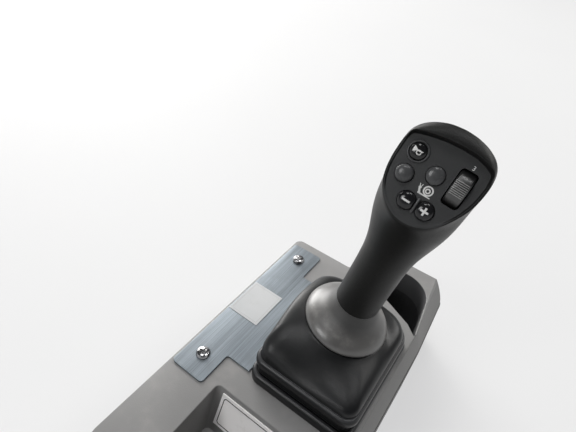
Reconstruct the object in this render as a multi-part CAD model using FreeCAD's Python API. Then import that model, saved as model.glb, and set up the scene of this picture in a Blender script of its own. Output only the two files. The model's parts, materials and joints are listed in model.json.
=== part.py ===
# Joystick control console: a two-axis control lever in a rubber boot on a moulded side console.
# Millimetres. X points inboard, Y forward, Z up. Shapes are built about the boot's centre at deck
# level, and save() moves them to the row frame, whose origin is the centre of the four foot holes.
import FreeCAD, Part
import math
import os

from FreeCAD import Rotation, Vector

os.makedirs("parts", exist_ok=True)

# Base housing under the deck
housingSize = (78.0, 76.0, 62.0)
housingWall = 4.0
baseLip = (5.0, 12.0, 4.0)
deckHoleGap = 1.0
baseScrewInset = (5.0, 7.0)
baseScrewRadius = 3.0

# Rubber boot, whose frame stands round the housing's lip
bootGap = (1.5, 4.5)
bootFrame = (8.5, 10.5)
bootX = housingSize[0] / 2 + baseLip[0] + bootGap[0] + bootFrame[0]
bootY = housingSize[1] / 2 + baseLip[1] + bootGap[1] + bootFrame[1]
bootMiddleY = -11.0
housingMiddleY = bootMiddleY + 3.0
bootRearY, bootFrontY = bootMiddleY - bootY, bootMiddleY + bootY
bootRound = 13.0
flangeHeight = 12.0
skirtWall = 3.5
domeRadius = 47.5
domeSweep = 66.0
domeHole = 27.8

# Steel plate outboard of the boot, its screws and its blank label
plateWidth = 38.0
plateThickness = 2.0
plateInnerX = -(bootX + 27.0)
plateOuterX = plateInnerX - plateWidth
frontStepY = bootFrontY + 58.0
plateFrontY = frontStepY - 12.0
plateRearY = plateFrontY - 207.0
tabRearY, tabFrontY = bootRearY + 5.0, bootFrontY + 6.0
plateScrewX = (plateOuterX + plateInnerX) / 2 - 0.5
plateScrewSpan = 163.0
plateScrewMidY = (plateRearY + plateFrontY) / 2 + 1.0
screwHeadRadius, screwHeadHeight, screwShankRadius = 7.0, 4.2, 3.0
labelSize = (37.0, 46.0, 0.5)
labelCentre = ((plateOuterX + plateInnerX) / 2 + 0.5, -4.0)

# Console moulding round the boot and the plate
deckHeight = 100.0
wall = 4.0
capDepth = 24.0
outboardX = plateOuterX - 3.0
inboardX = bootX + 12.0
creaseRearX = inboardX - 9.0
creaseFrontX = inboardX - 21.0
hoopTaper = 5.5
plinthStep = 1.0
cornerRound = 14.0

# Side pocket and rear tray
pocketRightX = inboardX - 18.0
pocketLeftX = pocketRightX - 71.0
pocketRearY = bootFrontY + 20.0
pocketFrontY = pocketRearY + 75.0
pocketRound = 34.0
pocketWallDepth = 32.0
pocketFloor = -78.0
linerWall = 3.0
hoopFrontY = pocketFrontY + 17.0
hoopLeftX = pocketLeftX - 21.0
trayRightX = inboardX - 22.0
trayLeftX = trayRightX - 113.0
trayFrontY = bootRearY - 21.0
trayRearY = trayFrontY - 83.0
rearY = trayRearY - 22.0
trayDepth = 46.0
trayFrontSlope = 66.0
trayWall = 3.0
trayRound = 5.0
trayDraft = 3.0
signMargin = 8.5
signHeight, signThickness = 36.0, 1.5

# Foot holes
footSpacingX = inboardX - outboardX - 24.0
footSpacingY = 210.0
footHoleRadius = 3.4
footWidth = 22.0
footThickness = 4.0
footMiddleY = -45.0
rowOrigin = Vector((outboardX + inboardX) / 2, footMiddleY, -deckHeight)

# Lever: pivot, lean and heights along its own axis
pivot = Vector(-7.4, 2.3, 15.0)
leanInboard = 9.63
leanForward = 3.0
shaftRadius = 7.0
shaftTop = 118.0
tailLength = 24.0
collarBase = 36.6
collarRim = 39.8
barrelBase = 66.5
barrelRadius = 20.0
neckRadius = 17.6
fitGap = 0.05

# Grip head, on a face plane that leans back from the lever's axis
faceCentre = Vector(-1.8, -22.0, 224.8)
faceLean = 28.0
headStretch = 19.0
rimRise = 2.0
browRise = 6.0
browStartY = 12.0
plateDepth = 4.0
cavityDepth = 23.6
keySpaceDepth = 12.0
shellWall = 1.3
cavityInset = 1.2
partingY = 5.0

# Keys on the face: across, up, radius and rise above the face
keyTravel = 1.6
keyGap = 0.15
keyFlange = 0.6
keys = {
    "horn_button": (-14.5, 6.1, 5.6, 3.0),
    "left_button": (-14.5, -9.5, 5.9, 3.6),
    "right_button": (2.4, -1.3, 5.9, 2.2),
    "minus_button": (-4.1, -23.0, 6.0, 3.0),
    "plus_button": (8.9, -23.0, 6.0, 3.0),
}
keyFlat = 4.9
rollerCentre = (18.4, -0.8)
rollerWidth = 10.3
rollerRadius = 12.6
rollerRise = 4.6
rollerPin = 2.0
rollerRibs = 8
slotLength = 24.7
slotGap = 0.7
frameWall = 1.6

# Gimbal
cheekX = 24.0
cheekThickness = 7.0
gimbalPin = 4.0
ringHalfX, ringHalfY, ringHeight = 21.0, 19.0, 12.0
ringWindowX, ringWindowY = 15.0, 10.0


def save(name, shape):
    moved = shape.copy()
    moved.translate(Vector() - rowOrigin)
    moved.exportStep("parts/" + name + ".step")
    print(name, round(moved.Volume), moved.isValid(), len(moved.Solids))


def outline(corners, z=0.0):
    # corners: x, y and the radius that rounds it
    count = len(corners)
    edges, ends = [], []
    for i in range(count):
        here = Vector(corners[i][0], corners[i][1], z)
        back = Vector(corners[i - 1][0], corners[i - 1][1], z) - here
        ahead = Vector(corners[(i + 1) % count][0], corners[(i + 1) % count][1], z) - here
        back.normalize()
        ahead.normalize()
        half = back.getAngle(ahead) / 2
        radius = corners[i][2]
        if radius <= 0:
            ends.append((here, None, here))
            continue
        cut = radius / math.tan(half)
        middle = back + ahead
        middle.normalize()
        tip = here + middle * (radius / math.sin(half) - radius)
        ends.append((here + back * cut, tip, here + ahead * cut))
    for i in range(count):
        first, tip, last = ends[i]
        if tip is not None:
            edges.append(Part.Arc(first, tip, last).toShape())
        following = ends[(i + 1) % count][0]
        if last.distanceToPoint(following) > 1e-6:
            edges.append(Part.LineSegment(last, following).toShape())
    return Part.Wire(edges)


def slab(corners, low, high):
    return Part.Face(outline(corners, low)).extrude(Vector(0, 0, high - low))


def rectangle(halfX, halfY, radius, x=0.0, y=0.0):
    return [(x - halfX, y - halfY, radius), (x + halfX, y - halfY, radius),
            (x + halfX, y + halfY, radius), (x - halfX, y + halfY, radius)]


def block(lowX, lowY, lowZ, highX, highY, highZ):
    return Part.makeBox(highX - lowX, highY - lowY, highZ - lowZ, Vector(lowX, lowY, lowZ))


def drum(radius, low, high, x=0.0, y=0.0):
    return Part.makeCylinder(radius, high - low, Vector(x, y, low))


def stack(sections):
    return Part.makeLoft(sections, True, True)


def spin(profile):
    # profile: radius and height pairs, closed about the Z axis
    points = [Vector(radius, 0, height) for radius, height in profile]
    return Part.Face(Part.makePolygon(points + points[:1])).revolve(Vector(), Vector(0, 0, 1), 360)


def toLever(shape):
    placed = shape.copy()
    placed.rotate(Vector(), Vector(1, 0, 0), -leanForward)
    placed.rotate(Vector(), Vector(0, 1, 0), leanInboard)
    placed.translate(pivot)
    return placed


def toFace(shape):
    placed = shape.copy()
    placed.rotate(Vector(), Vector(1, 0, 0), 90.0 - faceLean)
    placed.translate(faceCentre)
    return placed


def grown(corners, amount):
    # Moves each side of a convex outline outwards by the amount.
    count = len(corners)
    centreX = sum(corner[0] for corner in corners) / count
    centreY = sum(corner[1] for corner in corners) / count
    result = []
    for i in range(count):
        x, y, radius = corners[i]
        normals = []
        for a, b in ((corners[i - 1], corners[i]), (corners[i], corners[(i + 1) % count])):
            along = Vector(b[0] - a[0], b[1] - a[1], 0)
            normal = Vector(along.y, -along.x, 0)
            normal.normalize()
            if normal.dot(Vector(a[0] - centreX, a[1] - centreY, 0)) < 0:
                normal = Vector() - normal
            normals.append(normal)
        both = normals[0] + normals[1]
        shift = both * (amount / (1 + normals[0].dot(normals[1])))
        result.append((x + shift.x, y + shift.y, max(radius + amount, 0.5)))
    return result


def deckOutline(inset=0.0):
    side = inboardX - inset
    return [(outboardX + inset, rearY + inset, cornerRound), (side, rearY + inset, cornerRound),
            (side, pocketRearY, 0.0), (side - hoopTaper, hoopFrontY - inset, cornerRound),
            (hoopLeftX + inset, hoopFrontY - inset, 30.0),
            (hoopLeftX + inset, frontStepY - inset, 6.0), (outboardX + inset, frontStepY - inset, 8.0)]


def pocketOutline(extra=0.0):
    return grown([(pocketLeftX, pocketRearY + 38.0, 3.0), (pocketRightX - 4.0, pocketRearY + 6.5, 4.0),
                  (pocketRightX + 8.0, pocketRearY - 4.5, 0.8),
                  (pocketRightX - 3.5, pocketFrontY, pocketRound),
                  (pocketLeftX, pocketFrontY, pocketRound)], extra)


def trayTub(extra=0.0):
    run = trayDepth / math.tan(math.radians(trayFrontSlope))
    left, right = trayLeftX - extra, trayRightX + extra
    rear, front = trayRearY - extra, trayFrontY + extra
    top = [(left, rear, trayRound), (right, rear, trayRound),
           (right, front, trayRound), (left, front, trayRound)]
    left, right, rear, front = left + trayDraft, right - trayDraft, rear + trayDraft, front - run
    floor = [(left, rear, trayRound), (right, rear, trayRound),
             (right, front, trayRound), (left, front, trayRound)]
    return stack([outline(floor, -trayDepth - extra), outline(top, 0.0)])


def chamferTool():
    # The wedge outside the slanted inboard face, which runs from the crease down to the cap's edge.
    reach, past = 60.0, 5.0
    corners = []
    places = ((rearY - past, creaseRearX, inboardX), (pocketRearY, creaseRearX, inboardX),
              (hoopFrontY, creaseFrontX, inboardX - hoopTaper))
    for y, crease, foot in places:
        slope = (foot - crease) / capDepth
        top = Vector(crease - slope * past, y, past)
        low = Vector(foot + slope * past, y, -capDepth - past)
        corners.append(Part.makePolygon([top, low, Vector(foot + reach, y, low.z),
                                         Vector(foot + reach, y, past), top]))
    return Part.makeLoft(corners, True, True)


def consoleTop():
    chamfer = chamferTool()
    body = slab(deckOutline(), -capDepth, 0.0).cut(chamfer)
    inner = slab(deckOutline(wall), -capDepth - 1.0, -wall)
    shifted = chamfer.copy()
    shifted.translate(Vector(-wall, 0, -wall * 0.5))
    inner = inner.cut(shifted)
    body = body.cut(inner)
    pocketWalls = slab(pocketOutline(linerWall), -pocketWallDepth, -0.5)
    tub = trayTub(trayWall).common(block(outboardX, rearY, -trayDepth - trayWall, inboardX, 0, -0.5))
    body = body.fuse([pocketWalls.cut(chamfer), tub])
    body = body.cut([slab(pocketOutline(), -pocketWallDepth - 5.0, 5.0), trayTub()])
    holeX, holeY = housingSize[0] / 2 + deckHoleGap, housingSize[1] / 2 + deckHoleGap
    body = body.cut(slab(rectangle(holeX, holeY, 6.0, 0.0, housingMiddleY), -20.0, 5.0))
    holes = [drum(screwShankRadius + 0.1, -20.0, 5.0, plateScrewX, y) for y in plateScrewPlaces()]
    holes += [drum(baseScrewRadius + 0.1, -20.0, 5.0, x, y) for x, y in baseScrewPlaces()]
    return body.cut(holes).removeSplitter()


def consoleBase():
    low, high = -deckHeight, -capDepth
    def plan(inset):
        return deckOutline(inset - plinthStep)
    body = slab(plan(0.0), low, high - 2.0).cut(slab(plan(wall), low - 1, high + 1))
    ledge = slab(plan(plinthStep), high - 2.0 - wall, high)
    ledge = ledge.cut(slab(plan(wall + 9.0), high - 20.0, high + 1))
    feet = slab(plan(0.0), low, low + footThickness).cut(slab(plan(footWidth), low - 1, low + 20.0))
    body = body.fuse([ledge, feet])
    clearance = [slab(pocketOutline(linerWall + 0.5), pocketFloor - 6.0, high + 1), trayTub(trayWall + 0.5)]
    for x in (-footSpacingX / 2, footSpacingX / 2):
        for y in (-footSpacingY / 2, footSpacingY / 2):
            clearance.append(drum(footHoleRadius, low - 1, low + 10.0, rowOrigin.x + x, rowOrigin.y + y))
    return body.cut(clearance).removeSplitter()


def pocketLiner():
    outside = slab(pocketOutline(linerWall), pocketFloor - linerWall, -pocketWallDepth)
    return outside.cut(slab(pocketOutline(), pocketFloor, 0.0))


def traySign():
    half = (trayRightX - trayLeftX) / 2 - signMargin
    panel = block(-half, 0.0, 0.0, half, signHeight, signThickness)
    panel.rotate(Vector(), Vector(1, 0, 0), trayFrontSlope)
    slope = math.radians(trayFrontSlope)
    middle = (trayLeftX + trayRightX) / 2
    drop = 4.0 + signHeight * math.sin(slope)
    panel.translate(Vector(middle, trayFrontY - drop / math.tan(slope), -drop))
    return panel


def plateScrewPlaces():
    return [plateScrewMidY - plateScrewSpan / 2, plateScrewMidY + plateScrewSpan / 2]


def baseScrewPlaces():
    halfX = housingSize[0] / 2 + baseLip[0] - baseScrewInset[0]
    halfY = housingSize[1] / 2 + baseLip[1] - baseScrewInset[1]
    return [(x, housingMiddleY + y) for x in (-halfX, halfX) for y in (-halfY, halfY)]


def steelPlate():
    edge = -bootX - 0.3
    corners = [(plateOuterX, plateRearY, 3.0), (plateInnerX, plateRearY, 3.0), (plateInnerX, tabRearY, 3.0),
               (edge, tabRearY, 0), (edge, tabFrontY, 0), (plateInnerX, tabFrontY, 3.0),
               (plateInnerX, plateFrontY, 3.0), (plateOuterX, plateFrontY, 3.0)]
    plate = slab(corners, 0.0, plateThickness)
    return plate.cut([drum(screwShankRadius + 0.3, -1.0, 5.0, plateScrewX, y) for y in plateScrewPlaces()])


def panScrew(headRadius, headHeight, shankRadius, shankLength):
    profile = [(0, -shankLength), (shankRadius, -shankLength), (shankRadius, 0), (headRadius, 0),
               (headRadius, headHeight * 0.35), (headRadius * 0.82, headHeight * 0.8),
               (headRadius * 0.5, headHeight), (0, headHeight)]
    head = spin(profile)
    slotWidth = headRadius * 0.24
    slotLength = headRadius * 0.6
    cross = block(-slotLength, -slotWidth / 2, headHeight * 0.5, slotLength, slotWidth / 2, headHeight + 1)
    across = cross.copy()
    across.rotate(Vector(), Vector(0, 0, 1), 90)
    return head.cut([cross, across])


def plateScrew(y):
    screw = panScrew(screwHeadRadius, screwHeadHeight, screwShankRadius, 14.0)
    screw.translate(Vector(plateScrewX, y, plateThickness))
    return screw


def plateLabel():
    x, y = labelCentre
    return slab(rectangle(labelSize[0] / 2, labelSize[1] / 2, 0.8, x, y),
                plateThickness, plateThickness + labelSize[2])


def bootFlange():
    def ring(lessX, lessY, radius):
        return rectangle(bootX - lessX, bootY - lessY, radius, 0.0, bootMiddleY)
    ridge = stack([outline(ring(0.0, 0.0, bootRound), 0.0), outline(ring(0.0, 0.0, bootRound), 7.0),
                   outline(ring(1.5, 2.0, bootRound - 1.5), 10.0)])
    groove = slab(ring(4.0, 5.0, bootRound - 4.0), 9.0, flangeHeight)
    window = slab(ring(*bootFrame, 6.0), -1.0, flangeHeight + 1)
    return ridge.fuse(groove).cut(window).removeSplitter()


def leverCone(halfAngle, reach, inset=0.0):
    # The space round the lever's axis that lies within the angle, seen from the pivot.
    slope = math.radians(halfAngle)
    cone = Part.makeCone(0.0, reach * math.tan(slope), reach)
    cone.translate(Vector(0, 0, -inset / math.sin(slope)))
    return toLever(cone)


def bootPillow(inset):
    # height over the flange, narrowing of half width and half length, corner radius,
    # and the middle's shift outboard and forward
    table = [(0.0, 4.5, 4.5, 9.5, 0.0, 0.0), (8.0, 3.5, 3.5, 11.0, 0.0, 0.0),
             (9.5, 1.2, 1.2, 12.0, 0.0, 0.0), (17.0, 1.2, 1.2, 12.0, 0.0, 0.0),
             (19.5, 3.5, 3.5, 13.0, 0.0, 0.0), (26.0, 4.0, 5.5, 18.0, 1.0, 0.0),
             (33.0, 5.0, 9.0, 24.0, 2.5, 1.0), (38.0, 9.0, 14.0, 30.0, 5.0, 2.0),
             (46.0, 21.0, 30.0, 30.0, 7.0, 3.0)]
    sections = []
    for height, lessX, lessY, radius, outward, onward in table:
        corners = rectangle(bootX - lessX - inset, bootY - lessY - inset, max(radius - inset, 2.0),
                            -outward, bootMiddleY + onward)
        sections.append(outline(corners, flangeHeight + height))
    return stack(sections)


def bootSkirt():
    # A pillow with a dome let into its top: the dome is round the pivot, so the collar glides over it.
    def shell(inset):
        dome = toLever(Part.makeSphere(domeRadius - inset))
        return bootPillow(inset).cut(leverCone(domeSweep, 65.0, inset).cut(dome))
    hole = leverCone(domeHole, 90.0)
    return shell(0.0).cut([shell(skirtWall), hole]).removeSplitter()


def bootCollar():
    lip, crown = collarBase + 1.8, barrelBase - 0.1
    mouth = neckRadius + 6.0
    bore = shaftRadius + fitGap
    outside = [(collarRim - 0.6, collarBase - 0.6), (collarRim, collarBase), (collarRim, lip),
               (collarRim - 2.4, lip + 3.2), (collarRim - 7.5, lip + 6.2), (mouth + 3.0, lip + 10.5),
               (mouth - 2.0, lip + 16.0), (neckRadius + 0.6, lip + 21.5), (neckRadius, crown)]
    under = []
    clear = domeRadius + 0.8
    for turn in (12.0, 21.0, 30.0, 38.0, 44.5):
        angle = math.radians(turn)
        under.append((clear * math.sin(angle), clear * math.cos(angle)))
    return toLever(spin(outside + [(bore, crown), (bore, clear)] + under))


def headOutline():
    return [(-27.5, 19.5, 12.0), (-22.0, -30.0, 14.0), (4.0, -37.5, 20.0), (29.5, -28.0, 16.0),
            (34.0, 16.0, 16.0), (8.0, 33.5, 26.0)]


def faceOutline(inset=0.0):
    return grown([(-25.2, 15.6, 4.0), (-22.5, -29.0, 12.0), (4.0, -34.0, 16.0), (26.5, -25.5, 12.0),
                  (30.5, 17.0, 4.0), (4.0, 22.0, 12.0)], -inset)


def headBody():
    # The head's last stretch behind the face, the rim round the face and the brow over it.
    table = [(headStretch, -4.5), (headStretch * 0.6, -1.2), (headStretch * 0.15, 0.3), (0.0, 0.0)]
    back = stack([outline(grown(headOutline(), growth), -behind) for behind, growth in table])
    rim = stack([outline(headOutline(), 0.0), outline(grown(headOutline(), -1.2), rimRise)])
    brow = stack([outline(headOutline(), 0.0), outline(grown(headOutline(), -1.6), browRise / 2),
                  outline(grown(headOutline(), -4.6), browRise)])
    brow = brow.common(block(-60, browStartY, -5, 60, 60, 20))
    return back.fuse([rim, brow])


def neckBody(inset=0.0):
    # front and back of each section as y and height along the lever, and its half width;
    # the sections turn from square to the lever to nearly in line with the face
    table = [((-barrelRadius, barrelBase), (barrelRadius, barrelBase), barrelRadius),
             ((-barrelRadius, 122.0), (barrelRadius, 122.0), barrelRadius),
             ((-20.5, 136.0), (20.2, 137.0), 20.8), ((-22.0, 148.0), (20.7, 151.0), 22.8),
             ((-24.4, 158.5), (21.3, 165.0), 25.3), ((-27.6, 168.5), (21.9, 180.0), 27.8),
             ((-31.2, 178.0), (22.2, 197.0), 29.2), ((-34.4, 185.6), (20.8, 215.0), 30.0),
             ((-36.4, 191.2), (15.0, 232.0), 30.0), ((-36.6, 194.6), (5.5, 244.0), 29.4)]
    sections = []
    for front, back, halfX in table:
        run = Vector(0, back[0] - front[0], back[1] - front[1])
        halfX, halfY = halfX - inset, run.Length / 2 - inset
        section = outline(rectangle(halfX, halfY, min(halfX, halfY) * headRound(front[1])))
        section.rotate(Vector(), Vector(1, 0, 0), math.degrees(math.atan2(run.z, run.y)))
        section.translate(Vector(0, (front[0] + back[0]) / 2, (front[1] + back[1]) / 2))
        sections.append(section)
    return stack(sections)


def headRound(height):
    # share of the half width that the corners take: a round barrel, squarer at the head
    return 0.995 if height < 150.0 else 0.995 - 0.005 * (height - 150.0)


def gripWhole():
    head = toFace(headBody())
    grip = neckBody().fuse(head)
    recess = toFace(slab(faceOutline(), -plateDepth, 20.0))
    keySpace = toFace(slab(faceOutline(cavityInset), -keySpaceDepth, -plateDepth + 0.1))
    deepSpace = toFace(slab(faceOutline(cavityInset), -cavityDepth, -keySpaceDepth + 0.1))
    deepSpace = deepSpace.common(neckBody(shellWall))
    bore = drum(shaftRadius + fitGap, 0.0, shaftTop)
    return grip.cut([recess, keySpace.fuse(deepSpace), bore]).removeSplitter()


def gripShells():
    whole = gripWhole()
    ahead = block(-100, partingY, 0, 100, 100, 400)
    return toLever(whole.cut(ahead)), toLever(whole.common(ahead))


def keyHole(name):
    across, up, radius, rise = keys[name]
    hole = drum(radius + keyGap, -10.0, 5.0, across, up)
    side = keySide(name)
    if side:
        hole = hole.cut(flatTool(across, up, side, keyFlat + keyGap, 10.0))
    return hole


def keySide(name):
    return {"minus_button": 1, "plus_button": -1}.get(name, 0)


def flatTool(across, up, side, reach, size):
    low, high = sorted((across + side * reach, across + side * (reach + size)))
    return block(low, up - size, -20.0, high, up + size, 10.0)


def gripFace():
    plate = slab(faceOutline(0.1), -plateDepth, 0.0)
    plate = plate.cut([keyHole(name) for name in keys])
    across, up = rollerCentre
    slot = slab(rectangle(rollerWidth / 2 + slotGap, slotLength / 2, 1.5, across, up), -10.0, 5.0)
    return toLever(toFace(plate.cut(slot)))


def keyCap(name):
    across, up, radius, rise = keys[name]
    under = -plateDepth - 0.2
    foot = under - keyTravel - 2.4
    profile = [(0, foot), (radius - 2.0, foot), (radius - 2.0, under - 1.2),
               (radius + keyFlange, under - 1.2), (radius + keyFlange, under), (radius, under),
               (radius, rise * 0.35), (radius * 0.86, rise * 0.75), (radius * 0.5, rise * 0.97), (0, rise)]
    cap = spin(profile)
    cap.translate(Vector(across, up, 0))
    side = keySide(name)
    if side:
        cap = cap.cut(flatTool(across, up, side, keyFlat, 10.0))
    return toLever(toFace(cap))


def hornBezel():
    across, up, radius, rise = keys["horn_button"]
    ring = spin([(radius + keyGap, 0.0), (radius + 1.3, 0.0), (radius + 1.1, 1.0), (radius + keyGap, 1.2)])
    ring.translate(Vector(across, up, 0))
    return toLever(toFace(ring))


def keyDivider():
    middle = (keys["minus_button"][0] + keys["plus_button"][0]) / 2
    bar = slab(rectangle(0.9, 5.4, 0.8, middle, keys["minus_button"][1]), 0.0, 1.6)
    return toLever(toFace(bar))


def rollerAxisDepth():
    return rollerRise - rollerRadius


def roller():
    half = rollerWidth / 2
    wheel = Part.makeCylinder(rollerRadius, rollerWidth, Vector(-half, 0, 0), Vector(1, 0, 0))
    ribs = []
    for i in range(rollerRibs):
        rib = block(-half - 1, -0.25, rollerRadius - 0.5, half + 1, 0.25, rollerRadius + 1)
        rib.rotate(Vector(), Vector(1, 0, 0), (i - (rollerRibs - 1) / 2) * 5.6)
        ribs.append(rib)
    reach = half + slotGap + frameWall
    pin = Part.makeCylinder(rollerPin, 2 * reach, Vector(-reach, 0, 0), Vector(1, 0, 0))
    wheel = wheel.cut(ribs).fuse(pin).removeSplitter()
    wheel.translate(Vector(rollerCentre[0], rollerCentre[1], rollerAxisDepth()))
    return toLever(toFace(wheel))


def rollerFrame():
    innerX, innerY = rollerWidth / 2 + slotGap, slotLength / 2 + slotGap
    outerX, outerY = innerX + frameWall, innerY + frameWall
    top, floor = -plateDepth - 0.1, -cavityDepth + 0.1
    box = block(-outerX, -outerY, floor, outerX, outerY, top)
    inside = block(-innerX, -innerY, floor + 2.0, innerX, innerY, top + 1)
    axle = Part.makeCylinder(rollerPin + fitGap, 40.0, Vector(-20.0, 0, rollerAxisDepth()), Vector(1, 0, 0))
    box = box.cut([inside, axle])
    box.translate(Vector(rollerCentre[0], rollerCentre[1], 0))
    return toLever(toFace(box))


def leverShaft():
    shaft = drum(shaftRadius, -4.0, shaftTop - 2.0).fuse(drum(shaftRadius - 2.5, -tailLength, 0.0))
    shaft = toLever(shaft)
    hub = Part.makeCylinder(shaftRadius + 1.0, 2 * ringWindowY - 2.0,
                            pivot - Vector(0, ringWindowY - 1.0, 0), Vector(0, 1, 0))
    pin = Part.makeCylinder(gimbalPin, 2 * ringHalfY, pivot - Vector(0, ringHalfY, 0), Vector(0, 1, 0))
    return shaft.fuse([hub, pin]).removeSplitter()


def gimbalRing():
    ring = slab(rectangle(ringHalfX, ringHalfY, 3.0), -ringHeight / 2, ringHeight / 2)
    window = slab(rectangle(ringWindowX, ringWindowY, 2.0), -ringHeight, ringHeight)
    bore = Part.makeCylinder(gimbalPin + fitGap, 80.0, Vector(0, -40, 0), Vector(0, 1, 0))
    ring = ring.cut([window, bore])
    for side in (-1, 1):
        pin = Part.makeCylinder(gimbalPin, cheekX + cheekThickness - ringHalfX + 1.0,
                                Vector(side * (ringHalfX - 1.0), 0, 0), Vector(side, 0, 0))
        ring = ring.fuse(pin)
    ring.translate(pivot)
    return ring.removeSplitter()


def baseHousing():
    halfX, halfY, depth = housingSize[0] / 2, housingSize[1] / 2, housingSize[2]
    def layer(growX, growY, radius):
        return rectangle(halfX + growX, halfY + growY, radius, 0.0, housingMiddleY)
    plate = slab(layer(baseLip[0], baseLip[1], 5.0), 0.0, baseLip[2])
    box = slab(layer(0.0, 0.0, 5.0), -depth, 1.0)
    inside = slab(layer(-housingWall, -housingWall, 3.0), -depth + housingWall, 20.0)
    body = plate.fuse(box).cut(inside)
    top = pivot.z + gimbalPin + 5.0
    for side in (-1, 1):
        low, high = sorted((pivot.x + side * cheekX, pivot.x + side * (cheekX + cheekThickness)))
        cheek = slab([(low, pivot.y - 14.0, 0), (high, pivot.y - 14.0, 0), (high, pivot.y + 14.0, 0),
                      (low, pivot.y + 14.0, 0)], -depth + 2.0, top)
        body = body.fuse(cheek)
    reach = cheekX + cheekThickness + 5.0
    bore = Part.makeCylinder(gimbalPin + fitGap, 2 * reach, pivot - Vector(reach, 0, 0), Vector(1, 0, 0))
    holes = [drum(baseScrewRadius + 0.2, -1, 10, x, y) for x, y in baseScrewPlaces()]
    return body.cut([bore] + holes).removeSplitter()


def baseScrews():
    screws = []
    for x, y in baseScrewPlaces():
        screw = panScrew(5.0, 3.5, baseScrewRadius, 12.0)
        screw.translate(Vector(x, y, baseLip[2]))
        screws.append(screw)
    return Part.makeCompound(screws)


def connectorSocket():
    low = -housingSize[2]
    body = drum(15.0, low - 3.0, low).fuse(drum(11.0, low - 16.0, low))
    body = body.cut(drum(9.0, low - 17.0, low - 5.0))
    pins = [drum(0.9, low - 13.0, low - 4.0, 5.0 * math.cos(turn), 5.0 * math.sin(turn))
            for turn in [math.radians(60.0 * i) for i in range(6)]]
    socket = body.fuse(pins).removeSplitter()
    socket.translate(Vector(0, housingMiddleY, 0))
    return socket


front, rear = gripShells()
pieces = {
    "console_top": consoleTop(), "console_base": consoleBase(), "pocket_liner": pocketLiner(),
    "tray_sign": traySign(), "steel_plate": steelPlate(), "plate_label": plateLabel(),
    "plate_screw_rear": plateScrew(plateScrewPlaces()[0]),
    "plate_screw_front": plateScrew(plateScrewPlaces()[1]),
    "boot_flange": bootFlange(), "boot_skirt": bootSkirt(), "boot_collar": bootCollar(),
    "base_housing": baseHousing(), "base_screws": baseScrews(), "connector_socket": connectorSocket(),
    "gimbal_ring": gimbalRing(), "lever_shaft": leverShaft(),
    "grip_front_shell": front, "grip_rear_shell": rear, "grip_face": gripFace(),
    "horn_bezel": hornBezel(), "key_divider": keyDivider(),
    "roller_frame": rollerFrame(), "roller": roller(),
}
for name in keys:
    pieces[name] = keyCap(name)
for name, shape in pieces.items():
    save(name, shape)
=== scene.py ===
# Joystick control console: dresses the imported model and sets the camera, light and floor.
import json
import math

import bmesh
import bpy
from mathutils import Matrix, Vector

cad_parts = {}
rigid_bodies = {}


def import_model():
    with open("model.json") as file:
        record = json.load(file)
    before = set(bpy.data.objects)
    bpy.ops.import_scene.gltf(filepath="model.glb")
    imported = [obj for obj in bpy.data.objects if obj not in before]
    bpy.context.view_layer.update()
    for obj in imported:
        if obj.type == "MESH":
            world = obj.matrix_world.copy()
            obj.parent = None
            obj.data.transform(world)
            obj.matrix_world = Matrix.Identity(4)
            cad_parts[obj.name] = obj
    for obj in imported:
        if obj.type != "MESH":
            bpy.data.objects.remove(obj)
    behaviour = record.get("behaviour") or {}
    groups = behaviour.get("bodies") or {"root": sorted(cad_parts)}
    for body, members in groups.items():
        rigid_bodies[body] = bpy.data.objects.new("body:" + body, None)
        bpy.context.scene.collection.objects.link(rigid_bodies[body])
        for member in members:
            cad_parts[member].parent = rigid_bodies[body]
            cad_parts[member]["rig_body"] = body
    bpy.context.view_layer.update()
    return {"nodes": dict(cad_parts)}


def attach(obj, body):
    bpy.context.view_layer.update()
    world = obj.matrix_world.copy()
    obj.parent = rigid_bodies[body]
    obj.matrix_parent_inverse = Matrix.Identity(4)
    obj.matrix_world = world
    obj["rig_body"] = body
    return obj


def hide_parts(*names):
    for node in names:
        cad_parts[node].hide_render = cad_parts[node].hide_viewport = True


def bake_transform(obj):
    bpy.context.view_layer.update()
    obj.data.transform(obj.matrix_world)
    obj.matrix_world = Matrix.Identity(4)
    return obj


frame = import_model()
nodes = frame["nodes"]
print("frame loaded:", len(nodes), "nodes")

# Drawing spaces, each in millimetres: the deck at the boot's centre, the lever, and the grip's face
deckSpace = Matrix.Translation((0.028, 0.045, 0.100)) @ Matrix.Scale(0.001, 4)
pivotPoint = Vector((-7.4, 2.3, 15.0))
sideLean, foreLean = math.radians(9.63), math.radians(-3.0)
leverSpace = (deckSpace @ Matrix.Translation(pivotPoint)
              @ Matrix.Rotation(sideLean, 4, "Y") @ Matrix.Rotation(foreLean, 4, "X"))
faceSeat, faceLean = Vector((-1.8, -22.0, 224.8)), math.radians(62.0)
faceTilt = Matrix.Translation(faceSeat) @ Matrix.Rotation(faceLean, 4, "X")
faceSpace = leverSpace @ faceTilt


# Shader helpers
class Wire:
    # one output socket; sums on it add Math nodes
    def __init__(self, finish, socket):
        self.finish, self.socket = finish, socket

    def maths(self, operation, first, second=None):
        values = {0: first} if second is None else {0: first, 1: second}
        return self.finish.add("ShaderNodeMath", {"operation": operation}, values)

    def __add__(self, other):
        return self.maths("ADD", self, other)

    def __radd__(self, other):
        return self.maths("ADD", other, self)

    def __sub__(self, other):
        return self.maths("SUBTRACT", self, other)

    def __rsub__(self, other):
        return self.maths("SUBTRACT", other, self)

    def __mul__(self, other):
        return self.maths("MULTIPLY", self, other)

    def size(self):
        return self.maths("ABSOLUTE", self)


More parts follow.
